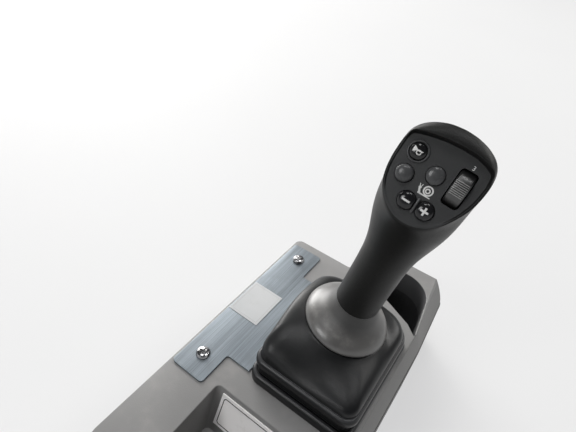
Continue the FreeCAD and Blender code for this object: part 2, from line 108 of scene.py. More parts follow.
class Finish:
    # one material; add() makes a node from its type, its settings and its socket values
    def __init__(self, name):
        self.material = bpy.data.materials.new(name)
        self.material.use_nodes = True
        self.tree = self.material.node_tree
        self.tree.nodes.clear()

    def add(self, kind, settings=None, values=None, out=0):
        node = self.tree.nodes.new(kind)
        for key, value in (settings or {}).items():
            if key == "stops":
                ramp = node.color_ramp.elements
                while len(ramp) < len(value):
                    ramp.new(1.0)
                for stop, (place, shade) in zip(ramp, value):
                    stop.position = place
                    stop.color = (shade, shade, shade, 1.0)
            else:
                setattr(node, key, value)
        for key, value in (values or {}).items():
            if isinstance(value, Wire):
                self.tree.links.new(value.socket, node.inputs[key])
            else:
                node.inputs[key].default_value = value
        return Wire(self, node.outputs[out]) if len(node.outputs) else None

    def largest(self, first, second):
        return self.add("ShaderNodeMath", {"operation": "MAXIMUM"}, {0: first, 1: second})

    def place(self, **mapping):
        spot = self.add("ShaderNodeTexCoord", out="Object")
        if mapping:
            spot = self.add("ShaderNodeMapping", {"vector_type": "POINT"}, {"Vector": spot, **mapping})
        return spot

    def noise(self, spot, scale, detail=3.0, rough=0.5, stretch=0.0):
        return self.add("ShaderNodeTexNoise", {}, {"Vector": spot, "Scale": scale, "Detail": detail,
                                                   "Roughness": rough, "Distortion": stretch}, "Fac")

    def cells(self, spot, scale):
        return self.add("ShaderNodeTexVoronoi", {"feature": "SMOOTH_F1"},
                        {"Vector": spot, "Scale": scale, "Smoothness": 0.6}, "Distance")

    def ramp(self, value, low, high):
        return self.add("ShaderNodeMapRange", {"interpolation_type": "SMOOTHSTEP", "clamp": True},
                        {"Value": value, "From Min": low, "From Max": high})

    def mix(self, share, first, second):
        def filled(colour):
            return colour if isinstance(colour, Wire) else (*colour, 1.0)
        return self.add("ShaderNodeMix", {"data_type": "RGBA"},
                        {0: share, 6: filled(first), 7: filled(second)}, 2)

    def along(self, spot, axis):
        # one of the three coordinates
        return self.add("ShaderNodeSeparateXYZ", {}, {0: spot}, axis)

    def upward(self):
        # 1 where the surface faces up
        normal = self.add("ShaderNodeNewGeometry", out="Normal")
        return self.ramp(self.add("ShaderNodeSeparateXYZ", {}, {0: normal}, "Z"), 0.1, 1.0)

    def bump(self, height, depth, strength=1.0, under=None):
        values = {"Height": height, "Distance": depth, "Strength": strength}
        if under:
            values["Normal"] = under
        return self.add("ShaderNodeBump", {}, values)

    def close(self, **surface):
        names = {key: key.replace("_", " ") for key in surface}
        shader = self.add("ShaderNodeBsdfPrincipled", {}, {names[key]: value for key, value in surface.items()
                                                           if key != "Base_Color"}
                          | {"Base Color": surface["Base_Color"]}, "BSDF")
        self.add("ShaderNodeOutputMaterial", {}, {"Surface": shader})
        return self.material


# Finishes
def consolePlastic(name, look):
    f = Finish(name)
    spot = f.place()
    grain = f.cells(spot, look["grainPerMetre"])
    haze = f.noise(spot, 9.0, 4.0, 0.55)
    smudge = f.ramp(f.noise(spot, 38.0, 5.0, 0.6), 0.46, 0.74)
    combed = f.place(Scale=(900.0, 24.0, 900.0), Rotation=(0.0, 0.0, 0.35))
    scratch = f.ramp(f.noise(combed, 1.0, 2.0), 0.70, 0.78) * f.ramp(haze, 0.45, 0.65)
    dust = f.upward() * smudge * look["dust"]
    colour = f.mix(haze, look["deep"], look["pale"])
    colour = f.mix(scratch * look["scratch"], colour, look["scratchColour"])
    colour = f.mix(dust, colour, look["dustColour"])
    rough = look["rough"] + haze * 0.10 + dust * 0.20 - scratch * 0.08 + (grain - 0.4) * 0.06
    normal = f.bump(grain, look["grainDepth"], 0.5)
    return f.close(Base_Color=colour, Roughness=rough, Normal=normal)


greyLook = {
    "grainPerMetre": 1500.0, "grainDepth": 0.00012, "rough": 0.40, "dust": 0.26, "scratch": 0.40,
    "deep": (0.170, 0.168, 0.166), "pale": (0.235, 0.232, 0.229),
    "scratchColour": (0.36, 0.35, 0.34), "dustColour": (0.32, 0.308, 0.292),
}
consoleGrey = consolePlastic("consoleGrey", greyLook)
darkLook = dict(greyLook, deep=(0.085, 0.084, 0.083), pale=(0.120, 0.118, 0.116), rough=0.46, dust=0.12,
                scratchColour=(0.26, 0.26, 0.25), dustColour=(0.25, 0.24, 0.22))
consoleDark = consolePlastic("consoleDark", darkLook)
linerLook = dict(greyLook, deep=(0.028, 0.028, 0.029), pale=(0.046, 0.046, 0.048), rough=0.55, dust=0.25,
                 scratchColour=(0.06, 0.06, 0.06), dustColour=(0.09, 0.085, 0.078))
linerBlack = consolePlastic("linerBlack", linerLook)
# painted shade: the pocket's walls get a darker grey than the deck
pocketDark = consolePlastic("pocketDark", dict(linerLook, deep=(0.055, 0.055, 0.057),
                                               pale=(0.080, 0.080, 0.083)))
socketBlack = consolePlastic("socketBlack", dict(linerLook, rough=0.42, deep=(0.008, 0.008, 0.009),
                                                 pale=(0.016, 0.016, 0.017)))


def mappingTo(space, height=0.0):
    # the Mapping that gives a space's coordinates in metres, from a point on its y axis
    turn = space.to_3x3().normalized()
    origin = space @ Vector((0.0, height, 0.0))
    back = turn.inverted()
    return tuple(-(back @ origin)), tuple(back.to_euler("XYZ"))


def rubberFinish(name, look):
    f = Finish(name)
    spot = f.place()
    grain = f.cells(spot, look["grainPerMetre"])
    weave = f.noise(spot, look["grainPerMetre"] * 0.6, 3.0, 0.6)
    haze = f.noise(spot, 16.0, 4.0, 0.6)
    worn = f.ramp(f.noise(spot, 45.0, 6.0, 0.65), 0.45, 0.80)
    # on the collar this pale dust on up-facing faces is partly real dust and partly a painted sheen
    dust = f.upward() * worn * look["dust"]
    colour = f.mix(haze, look["deep"], look["pale"])
    colour = f.mix(dust, colour, look["dustColour"])
    rough = look["rough"] + (haze - 0.5) * 0.16 + dust * 0.25 + (weave - 0.5) * 0.08
    normal = f.bump(weave, look["grainDepth"] * 0.6, 0.35, f.bump(grain, look["grainDepth"], 0.45))
    if "paintedCrestHeights" in look:
        # painted highlight: the crests of flange and ridge are painted paler
        height = f.along(spot, "Z")
        for crest, width in look["paintedCrestHeights"]:
            band = (1 - f.ramp((height - crest).size(), width * 0.3, width)) * (haze * 0.7 + 0.3)
            colour = f.mix(band * 0.75, colour, look["crestHighlightColour"])
            rough = rough - band * 0.10
    if "neck" in look:
        # painted shade: the collar is painted near-black up its neck towards the grip, over its dust
        turned = f.place(Location=look["neck"][0], Rotation=look["neck"][1])
        shade = f.ramp(f.along(turned, "Z"), 0.0445, 0.0575)
        colour = f.mix(shade * 0.85, colour, (0.004, 0.004, 0.004))
        rough = rough + shade * 0.25
    return f.close(Base_Color=colour, Roughness=rough, Normal=normal, Specular_IOR_Level=look["shine"])


bootLook = {
    "grainPerMetre": 1700.0, "grainDepth": 0.00008, "rough": 0.36, "dust": 0.14, "shine": 0.34,
    "deep": (0.0055, 0.0058, 0.0064), "pale": (0.0105, 0.0110, 0.0120), "dustColour": (0.070, 0.066, 0.060),
    # painted highlight along the crests of flange and ridge: heights with widths, and its colour
    "paintedCrestHeights": ((0.1281, 0.0013), (0.1099, 0.0009)), "crestHighlightColour": (0.075, 0.076, 0.080),
}
bootRubber = rubberFinish("bootRubber", bootLook)
# the collar's pale dust on its up-facing flare is partly real dust and partly a painted sheen
collarLook = dict(bootLook, rough=0.33, dust=0.75, shine=1.0, paintedCrestHeights=(), neck=mappingTo(leverSpace),
                  deep=(0.060, 0.059, 0.058), pale=(0.150, 0.146, 0.140), dustColour=(0.36, 0.345, 0.325))
collarRubber = rubberFinish("collarRubber", collarLook)


def gripFinish(name, look):
    # fine spark-eroded texture, with a parting line round the lever where its front and rear halves meet, and
    # a painted highlight along the barrel's bottom rim
    f = Finish(name)
    spot = f.place()
    grain = f.cells(spot, look["grainPerMetre"])
    speck = f.noise(spot, look["grainPerMetre"] * 1.4, 2.0, 0.5)
    haze = f.noise(spot, 20.0, 4.0, 0.6)
    rubbed = f.ramp(f.noise(spot, 30.0, 4.0, 0.6), 0.48, 0.72)
    colour = f.mix(haze, look["deep"], look["pale"])
    colour = f.mix(f.ramp(speck, 0.60, 0.74) * look["speckle"], colour, look["speckColour"])
    if "faceColour" in look:
        # the face is moulded in a lighter grade; object normals keep the mask with the lever
        outward = f.add("ShaderNodeTexCoord", out="Normal")
        facing = f.add("ShaderNodeVectorMath", {"operation": "DOT_PRODUCT"},
                       {0: outward, 1: look["faceAim"]}, "Value")
        sunk = f.along(f.place(Location=look["faceShift"], Rotation=look["faceTurn"]), "Z").size()
        face = f.ramp(facing, 0.97, 0.995) * (1 - f.ramp(sunk, 0.0006, 0.0012))
        colour = f.mix(face, colour, look["faceColour"])
    rough = look["rough"] + (haze - 0.5) * 0.12 - rubbed * 0.07
    depth = look["grainDepth"]
    normal = f.bump(speck, depth * 0.7, 0.4, f.bump(grain, depth, 0.55))
    if look["parting"]:
        turned = f.place(Location=look["seamShift"], Rotation=look["seamTurn"])
        seam = 1 - f.ramp(f.along(turned, "Y").size(), 0.00012, 0.00042)
        colour = f.mix(seam * 0.75, colour, (0.003, 0.003, 0.003))
        normal = f.bump(1 - seam, 0.0003, 0.8, normal)
        # painted highlight: a thin pale line round the barrel's bottom rim
        rim = 1 - f.ramp((f.along(turned, "Z") - look["rimHeight"]).size(), 0.0003, 0.0008)
        colour = f.mix(rim * 0.8, colour, look["rimHighlightColour"])
        rough = rough - rim * 0.12
    return f.close(Base_Color=colour, Roughness=rough, Normal=normal, Specular_IOR_Level=look["shine"])


seamShift, seamTurn = mappingTo(leverSpace, 5.0)
faceShift, faceTurn = mappingTo(faceSpace)
gripLook = {
    "grainPerMetre": 1900.0, "grainDepth": 0.00009, "rough": 0.42, "speckle": 0.50, "shine": 0.21,
    "deep": (0.0055, 0.0056, 0.0056), "pale": (0.0105, 0.0104, 0.0100), "speckColour": (0.075, 0.074, 0.071),
    "faceColour": (0.048, 0.049, 0.050), "faceShift": faceShift, "faceTurn": faceTurn,
    "faceAim": tuple((faceSpace.to_3x3() @ Vector((0, 0, 1))).normalized()),
    "parting": True, "seamShift": seamShift, "seamTurn": seamTurn,
    # painted highlight on the barrel's bottom rim: its height up the lever and its colour
    "rimHeight": 0.0672, "rimHighlightColour": (0.16, 0.155, 0.15),
}
gripBlack = gripFinish("gripBlack", gripLook)
softLook = {key: value for key, value in gripLook.items() if key != "faceColour"}
softLook.update(parting=False, rough=0.36, speckle=0.10, grainDepth=0.00003, shine=0.45,
                deep=(0.055, 0.056, 0.058), pale=(0.080, 0.081, 0.083))
keySoft = gripFinish("keySoft", dict(softLook, rough=0.28))
keyGloss = gripFinish("keyGloss", dict(softLook, rough=0.15, speckle=0.0, grainDepth=0.00001,
                                       deep=(0.008, 0.008, 0.009), pale=(0.013, 0.013, 0.014)))
rollerBlack = gripFinish("rollerBlack", dict(softLook, rough=0.33, grainDepth=0.00004, shine=1.0,
                                             deep=(0.008, 0.008, 0.008), pale=(0.015, 0.015, 0.015)))
# painted highlight: the roller's ribs are pale grey, for the light that catches them
ribPaintedHighlight = gripFinish("ribPaintedHighlight", dict(softLook, rough=0.22, grainDepth=0.00002, shine=0.7,
                                     deep=(0.26, 0.26, 0.256), pale=(0.38, 0.38, 0.374)))


def metalFinish(name, look):
    f = Finish(name)
    spot = f.place()
    combed = f.place(Scale=look["comb"])
    lines = f.noise(combed, 1.0, 4.0, 0.65) * 0.6 + f.noise(f.place(Scale=look["bands"]), 1.0, 3.0, 0.6) * 0.4
    haze = f.noise(spot, 22.0, 4.0, 0.6)
    stain = f.ramp(f.noise(spot, 55.0, 5.0, 0.65), 0.50, 0.72)
    colour = f.mix(f.ramp(lines, 0.30, 0.70) * 0.75 + haze * 0.25, look["deep"], look["pale"])
    colour = f.mix(stain * look["stain"], colour, look["stainColour"])
    rough = look["rough"] + (lines - 0.5) * look["combRough"] + stain * 0.12
    normal = f.bump(lines, look["depth"], 0.5)
    return f.close(Base_Color=colour, Roughness=rough, Metallic=look["metal"], Normal=normal)


plateSteel = metalFinish("plateSteel", {
    "comb": (1700.0, 14.0, 900.0), "bands": (330.0, 5.0, 200.0), "rough": 0.48,
    "deep": (0.13, 0.148, 0.165), "pale": (0.31, 0.345, 0.375),
    "combRough": 0.40, "stain": 0.35, "stainColour": (0.24, 0.26, 0.28), "depth": 0.00003, "metal": 1.0})
screwDark = metalFinish("screwDark", {
    "comb": (500.0, 500.0, 500.0), "bands": (160.0, 160.0, 160.0), "rough": 0.22,
    "deep": (0.26, 0.26, 0.265), "pale": (0.44, 0.44, 0.45),
    "combRough": 0.12, "stain": 0.4, "stainColour": (0.05, 0.045, 0.04), "depth": 0.00002, "metal": 1.0})
gimbalSteel = metalFinish("gimbalSteel", {
    "comb": (60.0, 2200.0, 2200.0), "bands": (20.0, 500.0, 500.0), "rough": 0.30,
    "deep": (0.36, 0.36, 0.37), "pale": (0.55, 0.55, 0.56),
    "combRough": 0.22, "stain": 0.3, "stainColour": (0.2, 0.19, 0.18), "depth": 0.00002, "metal": 1.0})
housingAlloy = metalFinish("housingAlloy", {
    "comb": (700.0, 700.0, 700.0), "bands": (120.0, 120.0, 120.0), "rough": 0.52,
    "deep": (0.30, 0.30, 0.305), "pale": (0.44, 0.44, 0.45),
    "combRough": 0.25, "stain": 0.35, "stainColour": (0.22, 0.21, 0.20), "depth": 0.00025, "metal": 0.9})


def sheetFinish(name, look):
    # printed foil or enamelled sheet: even, with faint rubbing and soil
    f = Finish(name)
    spot = f.place()
    haze = f.noise(spot, 28.0, 4.0, 0.55)
    soil = f.ramp(f.noise(spot, 85.0, 6.0, 0.7), 0.52, 0.78)
    fibre = f.noise(spot, 2400.0, 2.0)
    colour = f.mix(haze, look["deep"], look["pale"])
    colour = f.mix(soil * look["soil"], colour, look["soilColour"])
    rough = look["rough"] + (haze - 0.5) * 0.12 + soil * 0.10
    return f.close(Base_Color=colour, Roughness=rough, Normal=f.bump(fibre, 0.00002, 0.3))


whiteLook = {"deep": (0.39, 0.40, 0.405), "pale": (0.47, 0.475, 0.48), "rough": 0.32, "soil": 0.30,
             "soilColour": (0.30, 0.285, 0.26)}
labelWhite = sheetFinish("labelWhite", whiteLook)
signWhite = sheetFinish("signWhite", dict(whiteLook, rough=0.40, deep=(0.84, 0.82, 0.81),
                                          pale=(0.92, 0.90, 0.89)))
markWhite = sheetFinish("markWhite", dict(whiteLook, rough=0.45, soil=0.15, deep=(0.74, 0.74, 0.73),
                                          pale=(0.84, 0.84, 0.82)))
borderInk = sheetFinish("borderInk", dict(whiteLook, deep=(0.015, 0.015, 0.016), pale=(0.03, 0.03, 0.032),
                                          soilColour=(0.08, 0.08, 0.08), rough=0.42))
printGrey = sheetFinish("printGrey", dict(whiteLook, deep=(0.30, 0.30, 0.31), pale=(0.36, 0.36, 0.37)))
print("finishes made:", len(bpy.data.materials))


# Mesh helpers
def loopInOrder(verts):
    # walks a closed loop of vertices
    left = set(verts)
    order = [verts[0]]
    left.discard(verts[0])
    while left:
        near = [edge.other_vert(order[-1]) for edge in order[-1].link_edges]
        step = next((vert for vert in near if vert in left), None)
        if step is None:
            break
        order.append(step)
        left.discard(step)
    return order


def loopEdges(bm, loop):
    return [bm.edges.get((a, b)) for a, b in zip(loop, loop[1:] + loop[:1])]


def allOf(bm):
    return bm.verts[:] + bm.edges[:] + bm.faces[:]


def moveLoop(loop, places):
    for vert, place in zip(loop, places):
        vert.co = place
    return loop


def pushLoop(bm, loop, places):
    # extrudes a closed loop of edges and moves the new loop to its places
    made = bmesh.ops.extrude_edge_only(bm, edges=loopEdges(bm, loop))["geom"]
    fresh = {item for item in made if isinstance(item, bmesh.types.BMVert)}
    outer = [next(e.other_vert(v) for e in v.link_edges if e.other_vert(v) in fresh) for v in loop]
    return moveLoop(outer, places)


def thicken(bm, height):
    # extrudes flat faces upward and returns the upper vertices
    made = bmesh.ops.extrude_face_region(bm, geom=bm.faces[:])["geom"]
    upper = [v for v in made if isinstance(v, bmesh.types.BMVert)]
    bmesh.ops.translate(bm, vec=(0, 0, height), verts=upper)
    return upper


def roundedSheet(bm, halfX, halfY, corner, segments):
    # one flat face with rounded corners
    bmesh.ops.create_grid(bm, x_segments=1, y_segments=1, size=1.0)
    bmesh.ops.scale(bm, vec=(halfX, halfY, 1.0), verts=bm.verts)
    bmesh.ops.bevel(bm, geom=bm.verts[:], offset=corner, segments=segments, profile=0.5, affect="VERTICES",
                    material=-1)


def bevelEdges(bm, edges, offset, segments):
    bmesh.ops.bevel(bm, geom=edges, offset=offset, segments=segments, profile=0.5, affect="EDGES",
                    material=-1)


def boxAt(bm, half, centre):
    before = set(bm.verts)
    bmesh.ops.create_cube(bm, size=2.0)
    verts = [v for v in bm.verts if v not in before]
    bmesh.ops.scale(bm, vec=half, verts=verts)
    bmesh.ops.translate(bm, vec=centre, verts=verts)
    return verts


def finishMesh(bm, name, space, sharp=38.0, recalc=True):
    bmesh.ops.remove_doubles(bm, verts=bm.verts, dist=0.0005)
    if recalc:
        bmesh.ops.recalc_face_normals(bm, faces=bm.faces)
    for edge in bm.edges:
        edge.smooth = len(edge.link_faces) == 2 and edge.calc_face_angle(0.0) < math.radians(sharp)
    for face in bm.faces:
        face.smooth = True
    bmesh.ops.transform(bm, matrix=space, verts=bm.verts)
    mesh = bpy.data.meshes.new(name)
    bm.to_mesh(mesh)
    bm.free()
    return mesh


def putPiece(name, mesh, body, material, slot, *stands):
    piece = bpy.data.objects.new(name, mesh)
    bpy.context.scene.collection.objects.link(piece)
    mesh.materials.clear()
    mesh.materials.append(material)
    if body:
        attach(piece, body)
    if stands:
        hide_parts(*stands)
    return piece


def roundEdges(piece, width, segments=3):
    bevel = piece.modifiers.new("roundEdges", "BEVEL")
    bevel.width = width
    bevel.segments = segments
    bevel.profile = 0.5
    bevel.limit_method = "ANGLE"
    bevel.angle_limit = math.radians(30.0)
    bevel.harden_normals = True
    bevel.use_clamp_overlap = True


def copyNode(node, name, material, slot, width=0.0, segments=3, cuts=(), flat=0.6, quartered=False):
    # a merged copy of a node's mesh, cut where asked, with its edges rounded
    bm = bmesh.new()
    bm.from_mesh(nodes[node].data)
    bmesh.ops.remove_doubles(bm, verts=bm.verts, dist=0.000002)
    if quartered:
        middle = sum((v.co for v in bm.verts), Vector()) / len(bm.verts)
        cuts = [(Vector((1, 0, 0)), middle), (Vector((0, 1, 0)), middle)]
    for along, place in cuts:
        # kept as seams, so that no joined face runs round an opening
        made = bmesh.ops.bisect_plane(bm, geom=allOf(bm), plane_co=place, plane_no=along,
                                      dist=1e-7)["geom_cut"]
        for item in made:
            if isinstance(item, bmesh.types.BMEdge):
                item.seam = True
    bmesh.ops.dissolve_limit(bm, angle_limit=math.radians(flat), verts=bm.verts, edges=bm.edges,
                             delimit={"SEAM"})
    mesh = finishMesh(bm, name, Matrix.Identity(4), 34.0, False)
    piece = putPiece(name, mesh, nodes[node]["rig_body"], material, slot, node)
    if width:
        roundEdges(piece, width, segments)
    return piece


def subdivided(piece, levels):
    fine = piece.modifiers.new("fine", "SUBSURF")
    fine.levels = fine.render_levels = levels
    return piece


def applied(piece):
    # bakes a piece's modifiers into its mesh
    seen = piece.evaluated_get(bpy.context.evaluated_depsgraph_get())
    mesh = bpy.data.meshes.new_from_object(seen)
    piece.modifiers.clear()
    piece.data = mesh
    return piece


def mixed(first, second, share):
    return first + (second - first) * share


def eased(value, low, high):
    share = min(1.0, max(0.0, (value - low) / (high - low)))
    return share * share * (3.0 - 2.0 * share)


def bezier(a, b, c, d, t):
    s = 1.0 - t
    return a * s ** 3 + b * (3 * s * s * t) + c * (3 * s * t * t) + d * t ** 3


# Console
deckFinish = {
    # where the large flat faces are cut, so that none runs round an opening
    "cutsAcross": (-99.0, -12.0, 16.0), "cutsAlong": (-147.0, -11.0, 96.0),
    # half size and middle of the areas whose edges stay sharp, because boot and plate hide them
    "hidden": (((52.0, 64.0), (0.0, -11.0)), ((18.0, 102.5), (-100.0, -3.5))),
    # the pocket's middle, half size and depth of its wall, which is painted darker as shade
    "pocket": (16.0, 108.0), "pocketHalf": (42.0, 46.0), "pocketDepth": 50.0,
    "rim": 0.0008,
}


def within(spot, half, middle):
    return abs(spot.x - middle[0]) < half[0] and abs(spot.y - middle[1]) < half[1]


def makeDeck():
    # only the rims are rounded, by edge weights
    d = deckFinish
    across, along = Vector((1, 0, 0)), Vector((0, 1, 0))
    cuts = [(across, deckSpace @ (across * place)) for place in d["cutsAcross"]]
    cuts += [(along, deckSpace @ (along * place)) for place in d["cutsAlong"]]
    piece = copyNode("console_top", "consoleDeck", consoleGrey, "console_grey", cuts=cuts, flat=0.1)
    piece.data.materials.append(pocketDark)
    bm = bmesh.new()
    bm.from_mesh(piece.data)
    bmesh.ops.transform(bm, matrix=deckSpace.inverted(), verts=bm.verts)
    weight = bm.edges.layers.float.get("bevel_weight_edge") or bm.edges.layers.float.new("bevel_weight_edge")
    for edge in bm.edges:
        middle = (edge.verts[0].co + edge.verts[1].co) / 2
        hidden = any(within(middle, *area) for area in d["hidden"])
        top = min(v.co.z for v in edge.verts) > -0.05
        bend = edge.calc_face_angle(0.0) > math.radians(25.0)
        edge[weight] = 1.0 if top and bend and not hidden else 0.0
        edge.smooth = not bend or edge[weight] > 0
    for face in bm.faces:
        spot = face.calc_center_median()
        inward = (spot.x - d["pocket"][0]) * face.normal.x + (spot.y - d["pocket"][1]) * face.normal.y < 0
        wall = abs(face.normal.z) < 0.5 and inward and spot.z > -d["pocketDepth"]
        # painted shade: the pocket's upper walls take the darker grey
        if wall and within(spot, d["pocketHalf"], d["pocket"]):
            face.material_index = 1
    bmesh.ops.transform(bm, matrix=deckSpace, verts=bm.verts)
    bm.to_mesh(piece.data)
    bm.free()
    roundEdges(piece, d["rim"], 4)
    piece.modifiers["roundEdges"].limit_method = "WEIGHT"
    piece.modifiers["roundEdges"].use_clamp_overlap = False
    return piece


nodeCopies = {
    # the piece's name, material, slot, radius of its edges and steps round them
    "console_base": ("consoleSkirt", consoleDark, "console_dark", 0.0016, 3),
    "pocket_liner": ("pocketLiner", linerBlack, "liner_black", 0.0006, 2),
    "plate_label": ("plateLabel", labelWhite, "label_white", 0.0001, 1),
    "tray_sign": ("traySign", signWhite, "sign_white", 0.0004, 2),
    "plate_screw_rear": ("plateScrewRear", screwDark, "screw_dark", 0.0005, 2),
    "plate_screw_front": ("plateScrewFront", screwDark, "screw_dark", 0.0005, 2),
    "base_screws": ("baseScrews", screwDark, "screw_dark", 0.0003, 2),
    "base_housing": ("baseHousing", housingAlloy, "housing_alloy", 0.0006, 2),
    "connector_socket": ("connectorSocket", socketBlack, "socket_black", 0.0004, 2),
    "gimbal_ring": ("gimbalRing", gimbalSteel, "gimbal_steel", 0.0005, 2),
    "lever_shaft": ("leverShaft", gimbalSteel, "gimbal_steel", 0.0004, 2),
    "roller_frame": ("rollerFrame", socketBlack, "grip_black", 0.0002, 1),
}

makeDeck()
for node, dress in nodeCopies.items():
    # the two with a large opening are cut in four first
    copyNode(node, *dress, quartered=node in ("pocket_liner", "gimbal_ring"))
print("console dressed")


plateShape = {
    # the plate's edge as x, y and corner radius; the screw heads cover its holes
    "edge": [(-119.0, -107.0, 3.5), (-81.0, -107.0, 3.5), (-81.0, -71.0, 3.0), (-54.3, -71.0, 0.4),
             (-54.3, 60.0, 0.4), (-81.0, 60.0, 3.0), (-81.0, 100.0, 3.5), (-119.0, 100.0, 3.5)],
    "thickness": 2.0, "edgeBevel": 0.5,
}


def roundedEdge(corners, steps=6):
    # the points of a closed outline whose corners are arcs
    points = []
    for i, (x, y, radius) in enumerate(corners):
        corner = Vector((x, y))
        before = (Vector(corners[i - 1][:2]) - corner).normalized()
        after = (Vector(corners[(i + 1) % len(corners)][:2]) - corner).normalized()
        centre = corner + (before + after) * radius
        start, end = corner + before * radius - centre, corner + after * radius - centre
        sweep = start.angle_signed(end)
        for step in range(steps + 1):
            turn = -sweep * step / steps
            points.append(centre + Vector((start.x * math.cos(turn) - start.y * math.sin(turn),
                                           start.x * math.sin(turn) + start.y * math.cos(turn))))
    return points


def makePlate():
    bm = bmesh.new()
    ring = [bm.verts.new((p.x, p.y, 0.0)) for p in roundedEdge(plateShape["edge"])]
    bmesh.ops.contextual_create(bm, geom=[bm.edges.new(pair) for pair in zip(ring, ring[1:] + ring[:1])])
    top = set(thicken(bm, plateShape["thickness"]))
    rim = [e for e in bm.edges if e.verts[0] in top and e.verts[1] in top]
    bevelEdges(bm, rim, plateShape["edgeBevel"], 3)
    mesh = finishMesh(bm, "sidePlate", deckSpace, 24.0)
    return putPiece("sidePlate", mesh, "console", plateSteel, "plate_steel", "steel_plate")


makePlate()


def frameLine(name, space, line, material, slot):
    # a flat rounded frame line that lies on a sheet
    bm = bmesh.new()
    roundedSheet(bm, line["size"][0] / 2, line["size"][1] / 2, line["corner"], 5)
    made = bmesh.ops.inset_region(bm, faces=bm.faces[:], thickness=line["band"], use_even_offset=True,
                                  use_boundary=True)["faces"]
    bmesh.ops.delete(bm, geom=[f for f in bm.faces if f not in made], context="FACES")
    thicken(bm, line["height"])
    return putPiece(name, finishMesh(bm, name, space), "console", material, slot)


# the sign leans in the tray: its lower edge is found from the slope and its length
signFit = {"x": -12.5, "y": -97.0, "slope": 66.0, "topDrop": 4.0, "length": 36.0, "thickness": 1.5}
signLine = {"size": (90.0, 30.0), "band": 0.9, "height": 0.08, "corner": 3.0}
labelSeat = (-99.5, -4.0, 2.5)
labelLine = {"size": (32.0, 41.0), "band": 0.35, "height": 0.05, "corner": 1.0}


def makeSheetLines():
    slope = math.radians(signFit["slope"])
    drop = signFit["topDrop"] + signFit["length"] * math.sin(slope)
    foot = Matrix.Translation((signFit["x"], signFit["y"] - drop / math.tan(slope), -drop))
    upright = Matrix.Translation((0.0, signFit["length"] / 2, signFit["thickness"]))
    signSpace = deckSpace @ foot @ Matrix.Rotation(slope, 4, "X") @ upright
    frameLine("signBorder", signSpace, signLine, borderInk, "sign_white")
    frameLine("labelBorder", deckSpace @ Matrix.Translation(labelSeat), labelLine, printGrey, "label_white")


makeSheetLines()


# Boot
bootShape = {
    "size": (54.0, 65.0, 13.0), "middle": -9.0,
    # height, half width, half length, corner radius and extra radius at the front, from the deck up
    "flange": [(0.0, 54.0, 66.5, 13.0, 2.0), (6.4, 54.0, 66.5, 13.0, 3.0), (8.4, 53.5, 66.0, 12.5, 4.0),
               (9.6, 52.6, 65.1, 11.6, 5.0), (10.0, 51.4, 63.9, 10.4, 6.0), (9.8, 50.2, 62.5, 9.6, 8.0),
               (9.2, 49.7, 61.7, 9.2, 9.0), (8.4, 49.5, 61.3, 9.0, 9.0)],
    "ridge": [(8.6, 49.3, 60.8, 9.0, 10.0), (16.6, 49.3, 60.6, 9.4, 10.0), (18.4, 50.4, 61.0, 10.4, 10.0),
              (19.8, 52.0, 61.8, 11.8, 10.0), (21.4, 52.8, 62.4, 12.4, 10.0), (24.2, 53.0, 62.4, 12.6, 10.0),
              (26.4, 52.7, 62.0, 12.4, 10.0), (27.8, 51.8, 61.1, 12.0, 10.0), (28.5, 50.8, 60.0, 11.6, 10.0),
              (28.4, 50.0, 59.1, 11.2, 10.0), (28.0, 49.9, 58.7, 11.2, 10.0), (29.0, 50.1, 58.6, 11.4, 10.0)],
    "edge": (31.5, 50.3, 58.2, 12.0, 10.0),
    "rimRadius": 39.3, "rimHeight": 35.7,
    "steps": 14,
    # rise and lean-in at the edge, then reach and fall at the collar: outboard, inboard, rear, front
    "rise": (24.0, 6.0, 5.5, 14.0), "leanIn": (-6.0, 1.0, 4.5, -1.0),
    "reach": (9.0, 5.0, 11.0, 6.0), "fall": (-1.0, 3.0, 6.5, 0.5),
    # extra rise in the four corners: front outboard, rear outboard, rear inboard, front inboard
    "cornerRise": (3.0, 4.0, 4.0, 3.0), "cornerLean": (-2.0, 0.0, 0.0, 0.0),
    # heights up the lever: the skirt is cut across the lever at the middle one, the other two give its
    # direction
    "bend": (16.5, 24.5, 33.5),
    "wall": 1.8, "tuck": 4.0,
    "flangeInner": (8.2, 45.0, 57.0, 6.0, 8.0),
}


def rectangleLoop(bm, halfX, halfY, corner, cornerSteps, sideSteps):
    # a closed loop, with the place of each vertex as shares of the half sizes and a direction
    roundedSheet(bm, halfX, halfY, corner, cornerSteps)
    bmesh.ops.delete(bm, geom=bm.faces[:], context="FACES_ONLY")
    sides = [e for e in bm.edges if e.calc_length() > corner]
    bmesh.ops.subdivide_edges(bm, edges=sides, cuts=sideSteps)
    loop = loopInOrder(bm.verts[:])
    marks = []
    for vert in loop:
        inner = Vector((max(-halfX + corner, min(halfX - corner, vert.co.x)),
                        max(-halfY + corner, min(halfY - corner, vert.co.y)), 0.0))
        out = (vert.co - inner).normalized()
        marks.append((inner.x / (halfX - corner), inner.y / (halfY - corner), out))
    return loop, marks


def rectanglePlace(mark, section):
    height, halfX, halfY, corner, frontExtra = section
    across, along, out = mark
    corner += frontExtra if along > 0 else 0.0
    return Vector((across * (halfX - corner) + out.x * corner,
                   bootShape["middle"] + along * (halfY - corner) + out.y * corner, height))


def raisedLoop(bm, sections):
    # a loop carried up through all sections
    loop, marks = rectangleLoop(bm, *bootShape["size"], 10, 9)
    moveLoop(loop, [rectanglePlace(mark, sections[0]) for mark in marks])
    for section in sections[1:]:
        loop = pushLoop(bm, loop, [rectanglePlace(mark, section) for mark in marks])
    return loop, marks


